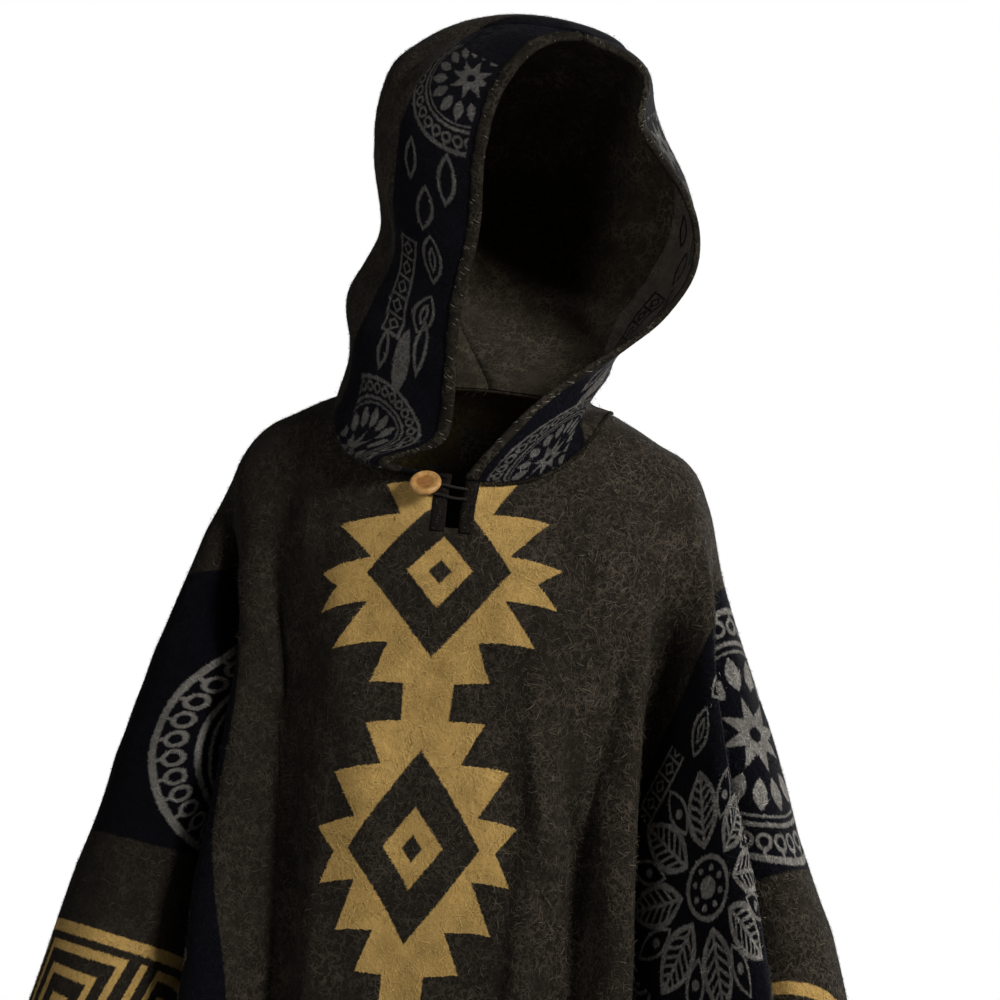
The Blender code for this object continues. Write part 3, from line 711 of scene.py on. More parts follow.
def rosette(a, b, radius):
    """A large flower of veined petals round a ringed centre, with leaves between."""
    k = radius / DRAWN_RADIUS
    a, b = a / k, b / k
    r, side = around(a, b, 8)
    leaf = petal(r, side, 0.030, 0.066, 0.0185)
    veins = abs(nearest(r - abs(side) * 0.9, 0.0, 0.0085)) - 0.0016
    stem = abs(side) - 0.0016
    veined = leaf.most((leaf + 0.0050).most(veins.least(stem).negative()).negative())
    centre = band(r, 0.0215, 0.0255).least(band(r, -1.0, 0.0085))
    r, off = around(a, b, 8, 0.5)
    between = petal(r, off, 0.052, 0.046, 0.0105)
    bud = outline(between, 0.0028).least(hypot(r - 0.073, off) - 0.0040)
    beads = hypot(r - 0.0155, off) - 0.0026
    return union(veined, bud, centre, beads) * k


def leaf_pair(a, b):
    """Two leaves that meet at a point, with lines inside them."""
    up = abs(b) - 0.004
    leaf = petal(up, a - up * 0.25, 0.0, 0.036, 0.0105)
    inner = petal(up, a - up * 0.25, 0.008, 0.019, 0.0040)
    return outline(leaf, 0.0030).least(outline(inner, 0.0022))


def ladder(a, b, half_length):
    """A narrow band of small lozenges between two rails."""
    rails = band(abs(a), 0.0080, 0.0105)
    rung = nearest(b, 0.0, 0.0155)
    lozenge = abs(abs(a) + abs(rung) * 1.05 - 0.0050) - 0.0013
    bars = band(abs(rung), 0.0068, 0.0088).most(band(a, -0.008, 0.008))
    return union(rails, lozenge, bars).most(abs(b) - half_length)


def scales(a, b):
    """Rows of overlapping half rounds."""
    width, rise = 0.0230, 0.0115
    rows = b / rise
    moved = ((rows - rows.fraction()) * 0.5).fraction() * width
    across, up = nearest(a + moved, 0.0, width), rows.fraction() * rise
    half_round = hypot(across, up) - 0.0108
    return outline(half_round, 0.0028).least(hypot(across, up - 0.0040) - 0.0022)


MEDALLION_RADIUS, FLOWER_RADIUS = 0.1035, 0.0900
CLEAR_OF = (0.109, 0.094)                    # no scales within this of a medallion or a flower
BLOCK_HALF = 0.1040                          # half width of the design on a block


def block_design(u, v):
    """The pale design on the dark blocks: medallions and flowers in turn along the cloth."""
    across, left_arm = abs(u) - BLOCK_MIDDLE, u.math("GREATER_THAN", 0.0)
    run = v - left_arm * (MEDALLION_AT[1] - MEDALLION_AT[0]) - MEDALLION_AT[0]
    round_one, flower = nearest(run, 0.0, BLOCK_REPEAT), nearest(run, FLOWER_RUN, BLOCK_REPEAT)
    clear = union(hypot(across, round_one) - CLEAR_OF[0], hypot(across, flower) - CLEAR_OF[1])
    below = box(across, flower, -0.10, 0.10, 0.062, 0.215)
    on_left_arm = union(
        scales(across, flower).most(clear.negative()).most(below),
        leaf_pair(across + 0.083, flower + 0.105),
        ladder(across + 0.094, flower + 0.030, 0.030),
    )
    design = union(
        medallion(across, round_one, MEDALLION_RADIUS),
        rosette(across, flower, FLOWER_RADIUS),
        on_left_arm.most(left_arm.negative() + 0.5),
    )
    return design.most(abs(across) - BLOCK_HALF)


HOOD_DARK = 0.082            # the dark band of the hood, from its face edge
# Outlined leaves down the hood.  rows: y where it starts, x, length, half width, width of its line
HOOD_LEAVES = (
    (0.205, 0.026, 0.036, 0.0080, 0.0030),
    (0.180, 0.044, 0.034, 0.0085, 0.0030),
    (0.212, 0.060, 0.030, 0.0070, 0.0030),
    (0.070, 0.030, 0.045, 0.0060, 0.0026),
    (0.062, 0.062, 0.030, 0.0055, 0.0028),
)


def hood_design(x, y):
    """The pale design on the hood: part medallions, leaves and a ladder band."""
    leaves = (
        outline(petal(y - foot, x - middle, 0.0, length, half_width), line)
        for foot, middle, length, half_width, line in HOOD_LEAVES
    )
    design = union(
        medallion(x - 0.024, y - 0.300, 0.058).most(y - 0.322),
        leaf_pair(x - 0.028, y - 0.140),
        ladder(x - 0.060, y - 0.128, 0.040),
        petal(y - 0.050, x - 0.044, 0.0, 0.050, 0.0070),
        medallion(x - 0.056, y - 0.012, 0.046),
        *leaves,
    )
    return design.most(band(x, 0.012, HOOD_DARK - 0.004))


# ---------------------------------------------------------------- finishes
# Each colour is a deep one, low in the nap, and a light one at the tips of its fibres.
GREY = ((0.0095, 0.0073, 0.0050), (0.125, 0.101, 0.071))
NAVY = ((0.0011, 0.0012, 0.0025), (0.0080, 0.0080, 0.0130))
GOLD = ((0.425, 0.268, 0.082), (0.600, 0.402, 0.145))
PALE = ((0.120, 0.111, 0.097), (0.500, 0.472, 0.430))
PALE_ON_HOOD = ((0.055, 0.051, 0.045), (0.230, 0.217, 0.200))
OLIVE = ((0.018, 0.012, 0.0035), (0.085, 0.060, 0.019))
# The inner face's grey in the hood and its greige are woven colours made lighter as painted light, for the
# light that falls inside the hood
GREY_IN_HOOD_PAINTED_LIGHT = ((0.024, 0.019, 0.012), (0.170, 0.138, 0.095))
GREIGE_WITH_PAINTED_LIGHT = ((0.075, 0.064, 0.050), (0.260, 0.225, 0.180))
EDGING = ((0.0070, 0.0056, 0.0040), (0.085, 0.072, 0.052))
# Painted shade: a darker copy of the edging for the slit's strips, where shade falls below the hood
SLIT_EDGING_SHADED = ((0.0065, 0.0052, 0.0042), (0.030, 0.024, 0.019))


def new_material(name, colour, roughness, sheen=0.0, coat=0.0, specular=0.1):
    """A material with its Principled shader; even qualities are set on the shader itself."""
    made = bpy.data.materials.new(name)
    made.use_nodes = True
    shader = made.node_tree.nodes["Principled BSDF"]
    shader.inputs["Base Color"].default_value = (*colour, 1)
    shader.inputs["Roughness"].default_value = roughness
    shader.inputs["Specular IOR Level"].default_value = specular
    shader.inputs["Sheen Weight"].default_value = sheen
    shader.inputs["Sheen Roughness"].default_value = 0.55
    shader.inputs["Coat Weight"].default_value = coat
    made.diffuse_color = (*colour, 1)
    return made, made.node_tree, shader


def object_place(tree):
    return tree.nodes.new("ShaderNodeTexCoord").outputs["Object"]


def two_of(tree, place):
    """The first two coordinates of a place."""
    split = tree.nodes.new("ShaderNodeSeparateXYZ")
    tree.links.new(place, split.inputs[0])
    return (Reading(tree, split.outputs[k]) for k in (0, 1))


def give_bump(tree, shader, height, strength, distance):
    bump = tree.nodes.new("ShaderNodeBump")
    bump.inputs["Strength"].default_value = strength
    bump.inputs["Distance"].default_value = distance
    tree.links.new(height.socket, bump.inputs["Height"])
    tree.links.new(bump.outputs[0], shader.inputs["Normal"])


def noise(tree, place, scale, detail=2.0, distortion=0.0, offset=None):
    node = tree.nodes.new("ShaderNodeTexNoise")
    node.inputs["Scale"].default_value = scale
    node.inputs["Detail"].default_value = detail
    node.inputs["Distortion"].default_value = distortion
    if offset:
        shift = tree.nodes.new("ShaderNodeMapping")
        shift.inputs["Location"].default_value = offset
        tree.links.new(place, shift.inputs[0])
        place = shift.outputs[0]
    tree.links.new(place, node.inputs["Vector"])
    return Reading(tree, node.outputs["Fac"])


def mixed(tree, share, first, second):
    """first where share is 0, second where it is 1. Colours or sockets."""
    node = tree.nodes.new("ShaderNodeMix")
    node.data_type = "RGBA"
    factor, a, b = node.inputs[0], node.inputs[6], node.inputs[7]
    if isinstance(share, Reading):
        tree.links.new(share.socket, factor)
    else:
        factor.default_value = share
    for slot, value in ((a, first), (b, second)):
        if isinstance(value, tuple):
            slot.default_value = (*value, 1)
        else:
            tree.links.new(value, slot)
    return node.outputs[2]


def shaded(tree, colour, amount):
    """The colour made darker or lighter by a reading."""
    node = tree.nodes.new("ShaderNodeVectorMath")
    node.operation = "SCALE"
    if isinstance(colour, tuple):
        node.inputs[0].default_value = colour
    else:
        tree.links.new(colour, node.inputs[0])
    tree.links.new(amount.socket, node.inputs["Scale"])
    return node.outputs[0]


def curly_lines(tree, place, scale, width, offset):
    """Short curling lines, as tangled fibres make on a brushed cloth."""
    field = noise(tree, place, scale, 1.0, offset=offset)
    line = (abs(field - 0.5) * (1.0 / width) - 1.0).negative().most(0.0)
    return line.math("MULTIPLY", 1.0, clamp=True)


SWAY = 0.00256               # how far the nap unsettles the edges of the weave


def flat_place(tree, sway=SWAY):
    """The place on the flat cloth, unsettled a little where the nap blurs the weave."""
    node = tree.nodes.new("ShaderNodeUVMap")
    node.uv_map = "flat"
    x, y = two_of(tree, node.outputs[0])
    if sway:
        place = object_place(tree)
        x = x + (noise(tree, place, 330, 2.0) - 0.5) * sway
        y = y + (noise(tree, place, 330, 2.0, offset=(3.1, 1.7, 2.3)) - 0.5) * sway
    return x, y


def woven_colours(tree, x, y, tips, inner, hood):
    """The woven colours of one face of the double cloth; the inner face has them exchanged."""
    if hood:
        dark = band(x + (y - 0.2) * 0.12, -1.0, HOOD_DARK)
        pale = hood_design(x, y)
        gold = None
    else:
        dark = band(abs(x), *BLOCK)
        pale = block_design(x, y)
        gold = gold_column(x, y).least(fret(x, y))
    if inner:
        # inside the hood, the inner grey and greige carry painted light
        palette = (GREY_IN_HOOD_PAINTED_LIGHT if hood else OLIVE, GREY, GREIGE_WITH_PAINTED_LIGHT, NAVY)
    else:
        palette = (GREY, GOLD, NAVY, PALE_ON_HOOD if hood else PALE)
    field, figure, ground, drawn = (mixed(tree, tips, deep, light) for deep, light in palette)
    colour = field
    if gold is not None:
        colour = mixed(tree, gold.inside(0.0011), field, figure)
    patterned = mixed(tree, pale.inside(0.0013), ground, drawn)
    return mixed(tree, dark.inside(0.0016), colour, patterned)


# Painted shade: the pale tips of the nap are painted fewer towards the wearer's right, where the light falls
# off, so the cloth is darker there;
# how far to the right of the middle the painted light begins to grow, over what length, and its least share.
NAP_SHADE_FROM, NAP_SHADE_RUN, NAP_SHADE_LEAST = 0.27, 0.42, 0.30
TIPS, TIPS_LEAST = 0.54, 0.05        # how much of the light colour the strands of the nap bring


def nap(tree):
    """Brushed nap: how light the cloth is at each point, and how high its fibres stand."""
    place = object_place(tree)
    broad = noise(tree, place, 7.0, 2.0)
    mottle = noise(tree, place, 60.0, 3.0)
    lines = curly_lines(tree, place, 125.0, 0.052, (0.0, 0.0, 0.0))
    finer = curly_lines(tree, place, 210.0, 0.060, (5.3, 2.9, 8.1))
    grain = noise(tree, place, 620.0, 1.0)
    patches = noise(tree, place, 34.0, 2.0, offset=(1.3, 7.7, 4.2)).ramp((0.36, 0.15), (0.66, 1.0))
    x, _ = two_of(tree, place)
    # painted shade: fewer pale tips towards the wearer's right, where the light falls off
    raised = ((x + NAP_SHADE_FROM) / NAP_SHADE_RUN).most(0.0).least(1.0) * (1 - NAP_SHADE_LEAST) + NAP_SHADE_LEAST
    strands = lines.most(finer * 0.8) * patches * raised
    light = broad * 0.5 + mottle * 0.75 + grain * 0.30 - 0.06
    return light, strands, strands * 0.55 + mottle * 0.35 + grain * 0.35


SERGE_WIDTH, SERGE_SPACING = 0.0055, 0.0034
SERGE_COLOURS = ((0.009, 0.0075, 0.0055), (0.040, 0.033, 0.025))


def serged_edge(x, y, half_width, half_length):
    """Overlocked thread along the cut edges: how far in from them, and the slanted stitches."""
    inward = (abs(x) - half_width).negative().least((abs(y) - half_length).negative())
    stitch = abs(nearest(x + y + inward * 0.4, 0.0, SERGE_SPACING)) - 0.0009
    return inward - SERGE_WIDTH, stitch


def cloth_material(name, inner=False, hood=False):
    made, tree, shader = new_material(name, GREY[1], 0.95, sheen=0.02, specular=0.05)
    x, y = flat_place(tree)
    light, strands, height = nap(tree)
    colour = woven_colours(tree, x, y, strands * TIPS + TIPS_LEAST, inner, hood)
    colour = shaded(tree, colour, light)
    if not hood:
        edge, stitch = serged_edge(x, y, CLOTH_HALF_WIDTH, CLOTH_HALF_LENGTH)
        thread = mixed(tree, stitch.inside(0.0006), *SERGE_COLOURS)
        colour = mixed(tree, edge.inside(0.0005), colour, thread)
        height = height + edge.inside(0.0010) * stitch.inside(0.0006) * 0.8
    tree.links.new(colour, shader.inputs["Base Color"])
    give_bump(tree, shader, height, 0.62, 0.0016)
    return made


def fibre_material(name, hood=False):
    """Loose fibres, each the colour of the cloth it grows from, some of them paler."""
    made, tree, shader = new_material(name, GREY[1], 0.85)
    x, y = flat_place(tree, sway=0.0)
    shade = tree.nodes.new("ShaderNodeAttribute")
    shade.attribute_name = "shade"
    colour = woven_colours(tree, x, y, Reading(tree, shade.outputs["Fac"]), False, hood)
    tree.links.new(colour, shader.inputs["Base Color"])
    return made


def strip_material(name, colours):
    """Overlocked strips: the brushed cloth showing through close threads."""
    made, tree, shader = new_material(name, colours[0], 0.95, specular=0.05)
    light, strands, height = nap(tree)
    colour = shaded(tree, mixed(tree, strands * TIPS + TIPS_LEAST, *colours), light)
    tree.links.new(colour, shader.inputs["Base Color"])
    give_bump(tree, shader, height, 0.8, 0.0012)
    return made


def thread_material(name, colour, variation=0.5):
    made, tree, shader = new_material(name, colour, 0.85)
    place = object_place(tree)
    uneven = noise(tree, place, 420.0, 2.0) * variation * 2 + (1.0 - variation)
    tree.links.new(shaded(tree, colour, uneven), shader.inputs["Base Color"])
    give_bump(tree, shader, noise(tree, place, 900.0, 2.0), 0.6, 0.0006)
    return made


def wood_material(name, dark, light):
    made, tree, shader = new_material(name, light, 0.45, coat=0.12, specular=0.3)
    place = object_place(tree)
    grain = noise(tree, place, 120.0, 3.0, 1.2)
    rings = noise(tree, place, 90.0, 2.0, 2.5, offset=(0.4, 0.2, 0.9))
    colour = mixed(tree, grain.ramp((0.35, 0.0), (0.7, 1.0)), dark, light)
    colour = shaded(tree, colour, rings * 0.5 + 0.72)
    tree.links.new(colour, shader.inputs["Base Color"])
    return made


# ---------------------------------------------------------------- making cloth
def object_from(bm, name, *looks):
    mesh = bpy.data.meshes.new(name)
    bm.to_mesh(mesh)
    bm.free()
    for look in looks:
        mesh.materials.append(look)
    mesh.shade_smooth()
    made = bpy.data.objects.new(name, mesh)
    poncho.objects.link(made)
    return made


def mapped_grid(bm, columns, rows, place):
    """Adds a grid; place gives the points and the flat places of its corners."""
    grid = bmesh.ops.create_grid(bm, x_segments=len(columns) - 1, y_segments=len(rows) - 1, size=0.5)
    verts = grid["verts"]
    i = np.array([round((v.co.x + 0.5) * (len(columns) - 1)) for v in verts])
    j = np.array([round((v.co.y + 0.5) * (len(rows) - 1)) for v in verts])
    points, flat = place(np.array(columns)[i], np.array(rows)[j])
    flat_of = {}
    for vert, point, at in zip(verts, points, flat):
        vert.co = point
        flat_of[vert] = at
    uv = bm.loops.layers.uv.get("flat") or bm.loops.layers.uv.new("flat")
    for vert in verts:
        for corner in vert.link_loops:
            corner[uv].uv = flat_of[vert]


def give_wall(made, thickness):
    wall = made.modifiers.new("wall", "SOLIDIFY")
    wall.thickness = thickness
    wall.offset = 0.0
    wall.use_even_offset = False
    return wall


def close_up(bm):
    bmesh.ops.remove_doubles(bm, verts=bm.verts, dist=0.00002)
    bmesh.ops.recalc_face_normals(bm, faces=bm.faces)


def two_faced_cloth(bm, name, outward, looks):
    """A piece of cloth with its wall, the first look on the face that turns outward."""
    close_up(bm)
    outmost = max(bm.faces, key=lambda face: face.calc_center_median().dot(outward))
    if outmost.normal.dot(outward) < 0:
        bmesh.ops.reverse_faces(bm, faces=bm.faces)
    made = object_from(bm, name, *looks)
    give_wall(made, CLOTH_THICKNESS).material_offset = 1
    return made


# ---------------------------------------------------------------- small creases
# Soft creases of the worn cloth on the flat cloth.
# rows: u, v of the middle, turn in degrees from across, half length, half width, height
CREASES = (
    (-0.155, 0.330, 82, 0.170, 0.022, -0.0035),
    (0.116, 0.350, 74, 0.110, 0.011, 0.0065),
    (0.168, 0.340, 68, 0.120, 0.020, -0.0060),
    (0.235, 0.330, 66, 0.120, 0.016, 0.0055),
    (0.235, 0.140, 50, 0.100, 0.026, -0.0080),
    (-0.205, 0.230, 74, 0.120, 0.014, 0.0050),
    (0.052, 0.300, 84, 0.110, 0.014, -0.0035),
    (-0.070, 0.300, 84, 0.150, 0.018, 0.0035),
    (-0.012, 0.420, 93, 0.180, 0.016, -0.0030),
    (0.060, 0.360, 88, 0.160, 0.017, 0.0030),
    (0.104, 0.480, 95, 0.170, 0.014, 0.0042),
    (-0.118, 0.520, 86, 0.150, 0.016, -0.0040),
    (0.020, 0.640, 90, 0.140, 0.020, 0.0040),
    (-0.040, 0.700, 97, 0.120, 0.018, 0.0035),
    (0.130, 0.160, 60, 0.060, 0.013, 0.0030),
    (-0.135, 0.150, -58, 0.060, 0.013, 0.0032),
    (0.150, 0.090, 42, 0.050, 0.011, -0.0028),
    (-0.150, 0.085, -40, 0.050, 0.011, -0.0026),
    (-0.250, 0.120, 70, 0.080, 0.015, 0.0030),
    (-0.330, 0.060, 30, 0.090, 0.016, -0.0034),
    (-0.430, 0.100, 64, 0.100, 0.017, 0.0036),
    (-0.520, 0.180, 20, 0.110, 0.018, 0.0030),
    (0.270, 0.080, 26, 0.080, 0.014, 0.0032),
    (0.360, 0.140, 58, 0.100, 0.016, -0.0034),
    (0.450, 0.060, 12, 0.100, 0.017, 0.0034),
    (0.540, 0.200, 66, 0.110, 0.018, -0.0030),
    (-0.300, 0.420, 80, 0.140, 0.018, 0.0040),
    (0.330, 0.480, 76, 0.150, 0.019, 0.0040),
    (0.500, 0.560, 60, 0.130, 0.020, -0.0038),
    (-0.500, 0.540, 66, 0.130, 0.019, -0.0036),
    (-0.090, -0.130, 62, 0.080, 0.015, 0.0034),
    (0.100, -0.150, -60, 0.080, 0.015, 0.0032),
    (0.000, -0.300, 90, 0.170, 0.018, 0.0040),
    (-0.060, -0.480, 86, 0.170, 0.017, -0.0036),
    (0.075, -0.430, 94, 0.150, 0.018, 0.0038),
    (0.020, -0.660, 92, 0.130, 0.019, 0.0034),
    (-0.260, -0.160, 50, 0.090, 0.016, 0.0034),
    (0.280, -0.150, -48, 0.090, 0.016, 0.0034),
    (-0.430, -0.120, 22, 0.110, 0.017, -0.0034),
    (0.440, -0.160, -18, 0.110, 0.017, -0.0032),
    (-0.350, -0.430, 78, 0.150, 0.019, 0.0040),
    (0.360, -0.460, 102, 0.150, 0.019, 0.0038),
    (-0.540, -0.380, 60, 0.120, 0.018, 0.0034),
    (0.560, -0.330, 118, 0.120, 0.018, -0.0034),
    (0.640, 0.745, 60, 0.090, 0.045, -0.0040),
    (0.442, 0.842, 60, 0.090, 0.045, -0.0040),
)


def crease_height(u, v):
    """Height of the small creases, over a faint unevenness; the cloth is smoother near the neck."""
    height = 0.0008 * np.sin(31 * u + 9 * v) * np.sin(23 * v - 12 * u)
    for place_u, place_v, turn, half_length, half_width, rise in CREASES:
        c, s = cos(radians(turn)), sin(radians(turn))
        along = ((u - place_u) * c + (v - place_v) * s) / half_length
        across = ((v - place_v) * c - (u - place_u) * s + 0.010 * np.sin(3 * along)) / half_width
        height = height + rise * np.exp(-along**2 - across**2)
    near_neck = np.exp(-(((np.abs(u) - 0.05) / 0.09) ** 2) - ((v - 0.05) / 0.10) ** 2)
    return height * (1 - 0.9 * np.clip(near_neck, 0, 1))


# How far the top of each sleeve is carried out from the body.  rows: u, distance
SLEEVE_NUDGE = (
    (-0.72, -0.002), (-0.56, -0.001), (-0.46, 0.003), (-0.37, 0.003), (-0.29, -0.003), (-0.24, 0.002),
    (-0.19, 0.000), (-0.15, -0.003), (-0.11, 0.000), (0.12, 0.000), (0.17, 0.003), (0.22, -0.004),
    (0.30, -0.005), (0.38, -0.006), (0.48, 0.002), (0.55, 0.014), (0.72, 0.017),
)


def creased_cloth(u, v):
    """The draped cloth with its small creases, the tops of the sleeves nudged out."""
    points = above_cloth(u, v, crease_height(u, v)[..., None])
    points[..., 0] += np.interp(u, *np.transpose(SLEEVE_NUDGE)) * np.exp(-((v / 0.15) ** 2))
    return points


# How the threads of the weave run askew where the cloth is drawn over the arms.
# rows: |u|, the shift of the pattern there, and how much it grows along v
SKEW = {
    "right": ((0.10, 0.0, 0.0), (0.24, -0.020, 0.35), (0.30, -0.040, 0.60), (0.36, -0.038, 0.55),
              (0.52, -0.020, 0.28), (0.60, -0.018, 0.25), (0.72, 0.0, 0.0)),
    "left": ((0.10, 0.0, 0.0), (0.28, 0.004, -0.06), (0.38, 0.008, 0.0), (0.48, 0.016, 0.10),
             (0.54, 0.010, 0.17), (0.60, -0.026, 0.50), (0.72, -0.010, 0.30)),
}
# The motifs of the middle run unevenly along the cloth.  rows: v, the same place in the pattern
MIDDLE_RUN = (
    (-0.860, -0.860), (-0.020, -0.020), (0.100, 0.0915), (0.132, 0.1235), (0.157, 0.157),
    (0.270, 0.270), (0.308, 0.320), (0.500, 0.487), (0.600, 0.587), (0.860, 0.850),
)
MIDDLE_SHIFT, MIDDLE_SLOPE = 0.004, 0.155
# The upper motif's halves.  rows: v, how much narrower to the wearer's left, and to the right
UPPER_NARROWING = ((0.125, -0.05, -0.06), (0.156, 0.06, -0.03), (0.200, 0.06, -0.03), (0.270, 0.0, 0.0))
LOWER_NARROWING, PULLED_RIGHT = 0.05, 0.22      # the lower motif, and its half towards the wearer's right


def weave_place(side, u, v):
    """The place in the woven pattern of a point of the cloth."""
    # askew over the arms, which fades down the cloth, and later at the border line
    at, shift, growth = np.transpose(SKEW[side])
    span = np.abs(u)
    border = smoothstep((span - 0.50) / 0.08)
    fade = smoothstep((0.34 + 0.36 * border - v) / (0.18 + 0.30 * border)) * smoothstep((v + 0.20) / 0.20)
    moved = (np.interp(span, at, shift) + np.interp(span, at, growth) * np.clip(v, 0, 0.2)) * fade
    # the motifs down the middle, each a little narrower or wider than woven
    in_middle = smoothstep((0.27 - span) / 0.08)
    pull = PULLED_RIGHT * smoothstep((v - 0.39) / 0.08) * (u < 0)
    narrower = (LOWER_NARROWING + pull) * smoothstep((v - 0.27) / 0.05) * smoothstep((0.62 - v) / 0.08)
    at, to_left, to_right = np.transpose(UPPER_NARROWING)
    raised = v + MIDDLE_SLOPE * np.maximum(u, 0) * smoothstep(v / 0.1)
    upper = np.where(u > 0, np.interp(raised, at, to_left), np.interp(raised, at, to_right))
    narrower = narrower + upper * smoothstep(v / 0.05)
    across = u + SIGN[side] * moved + in_middle * (MIDDLE_SHIFT + narrower * u)
    along = v + in_middle * (np.interp(raised, *np.transpose(MIDDLE_RUN)) - v)
    return np.stack([across, along], -1)


# ---------------------------------------------------------------- the blanket
NECK_COLUMNS, ARM_COLUMNS, BLANKET_ROWS = 20, 74, 112
ROW_CROWDING = 1.25                          # the rows lie closer together at the shoulders
SIDE_SPREAD, SPREAD_LENGTH = 0.012, 0.03     # the columns spread below the corners of the neck hole


def blanket_place(side, end):
    """Points and flat places of a quarter of the blanket, by column and share of its length."""
    sign, ahead = SIGN[side], AHEAD[end]

    def place(column, share):
        turn = np.clip(column / NECK_COLUMNS, 0, 1) * pi / 2
        reach = np.clip((column - NECK_COLUMNS) / ARM_COLUMNS, 0, 1)
        u, top = neck(turn if end == "front" else pi - turn)
        top = np.where(column > NECK_COLUMNS, 0.0, np.abs(top))
        u = np.where(column > NECK_COLUMNS, NECK_HALF + reach * (CLOTH_HALF_WIDTH - NECK_HALF), np.abs(u))
        v = top + share * (CLOTH_HALF_LENGTH - top)
        beside = np.where(column > NECK_COLUMNS, (1 - reach) ** 6, (turn / (pi / 2)) ** 4)
        u = u + SIDE_SPREAD * beside * (1 - np.exp(-(v - top) / SPREAD_LENGTH))
        if end == "front":
            u = np.where(column == 0, slit_half(v), u)
        u = np.maximum(u, 1e-7) * sign
        v = ahead * np.maximum(v, 1e-7)
        return creased_cloth(u, v), weave_place(side, u, v)

    return place


def blanket(outer, inner):
    bm = bmesh.new()
    columns = list(range(NECK_COLUMNS + ARM_COLUMNS + 1))
    rows = np.linspace(0, 1, BLANKET_ROWS + 1) ** ROW_CROWDING
    slit_end = SLIT_LENGTH / (CLOTH_HALF_LENGTH - NECK_DEPTH["front"])
    last = int(np.argmax(rows > slit_end)) - 1
    rows[last : last + 2] = slit_end * 0.990, slit_end * 1.010
    for side in SIGN:
        for end in AHEAD:
            mapped_grid(bm, columns, list(rows), blanket_place(side, end))
    return two_faced_cloth(bm, "blanket_sheet", Vector((0, -1, 0)), (outer, inner))


# ---------------------------------------------------------------- the hood
HOOD_COLUMNS, HOOD_ROWS, HOOD_CROWDING = 60, 92, 1.15
LENGTH_STEPS = (61, 81)                         # over which its lengths are summed, across and up
CHEEK = slice(24, 36)                           # the columns of them along which its height is measured
WIDTH_AT = 0.45                                 # q at which its width is measured
# Soft creases of the hood.  rows: side, q, t of the middle, half width in q and t, lean, height
HOOD_CREASES = (
    (-1, 0.30, 0.12, 0.20, 0.030, 0.10, 0.0045),
    (-1, 0.22, 0.21, 0.16, 0.026, -0.12, -0.0040),
    (-1, 0.62, 0.17, 0.20, 0.035, 0.15, 0.0015),
    (-1, 0.80, 0.34, 0.16, 0.050, 0.20, -0.0040),
    (-1, 0.45, 0.52, 0.12, 0.070, 0.35, 0.0035),
    (-1, 0.70, 0.66, 0.14, 0.050, -0.30, 0.0035),
    (1, 0.30, 0.13, 0.22, 0.028, 0.10, 0.0040),
    (1, 0.55, 0.22, 0.20, 0.034, -0.12, -0.0045),
    (1, 0.22, 0.33, 0.16, 0.035, 0.15, 0.0040),
    (1, 0.75, 0.42, 0.16, 0.050, 0.22, 0.0040),
    (1, 0.40, 0.66, 0.14, 0.050, -0.30, -0.0035),
)


def hood_crease(side, q, t):
    """Height of the hood's creases, which fade out at its edges."""
    height = np.zeros(np.shape(q))
    for sign, middle_q, middle_t, wide, tall, lean, rise in HOOD_CREASES:
        if sign == SIGN[side]:
            off_q, off_t = (q - middle_q) / wide, (t - middle_t - lean * (q - middle_q)) / tall
            height = height + rise * np.exp(-off_q**2 - off_t**2)
    fade = smoothstep(q / 0.06) * smoothstep((1 - q) / 0.06) * smoothstep((t - 0.02) / 0.06)
    return height * fade


def hood_point(side, q, t, height=0.0):
    lift = hood_crease(side, q, t) + height
    return hood(side, q, t) + hood_normal(side, q, t) * lift[..., None]


def hood_lengths(side):
    """Distance from the face edge and height along it, by q and t, as tables on a grid."""
    q, t = np.linspace(0, 1, LENGTH_STEPS[0]), np.linspace(0, HOOD_TOP, LENGTH_STEPS[1])
    points = hood(side, q[None, :], t[:, None])
    across = np.cumsum(np.linalg.norm(np.diff(points, axis=1), axis=-1), axis=1)
    up = np.cumsum(np.linalg.norm(np.diff(points[:, CHEEK].mean(1), axis=0), axis=-1))
    return q, t, np.pad(across, ((0, 0), (1, 0))), np.pad(up, (1, 0))


def hood_half(side, outer, inner):
    bm = bmesh.new()
    q_steps, t_steps, across, up = hood_lengths(side)
    width = np.array([np.interp(WIDTH_AT, q_steps, row) / WIDTH_AT for row in across])

    def place(q, t):
        from_edge = q * np.interp(t, t_steps, width)
        return hood_point(side, q, t), np.stack([from_edge, np.interp(t, t_steps, up)], -1)

    columns = list(np.linspace(0, 1, HOOD_COLUMNS + 1))
    rows = list(np.linspace(0, 1, HOOD_ROWS + 1) ** HOOD_CROWDING * HOOD_TOP)
    mapped_grid(bm, columns, rows, place)
    return two_faced_cloth(bm, "hood_cloth_" + side, Vector((SIGN[side], 0, 0)), (outer, inner))


# ---------------------------------------------------------------- strips, threads and trim
def tube_along(bm, points, radius, sides):
    """A thin round thread through the points, closed at its ends."""
    points = [Vector(p) for p in points]
    rings = []
    for k, point in enumerate(points):
        ahead = (points[min(k + 1, len(points) - 1)] - points[max(k - 1, 0)]).normalized()
        first = first - ahead * first.dot(ahead) if rings else ahead.orthogonal()
        first.normalize()
        second = ahead.cross(first)
        turns = [2 * pi * n / sides for n in range(sides)]
        rings.append([bm.verts.new(point + (first * cos(a) + second * sin(a)) * radius) for a in turns])
    for ring, after in zip(rings, rings[1:]):
        for n in range(sides):
            bm.faces.new((ring[n], ring[(n + 1) % sides], after[(n + 1) % sides], after[n]))
    bm.faces.new(rings[0][::-1])
    bm.faces.new(rings[-1])


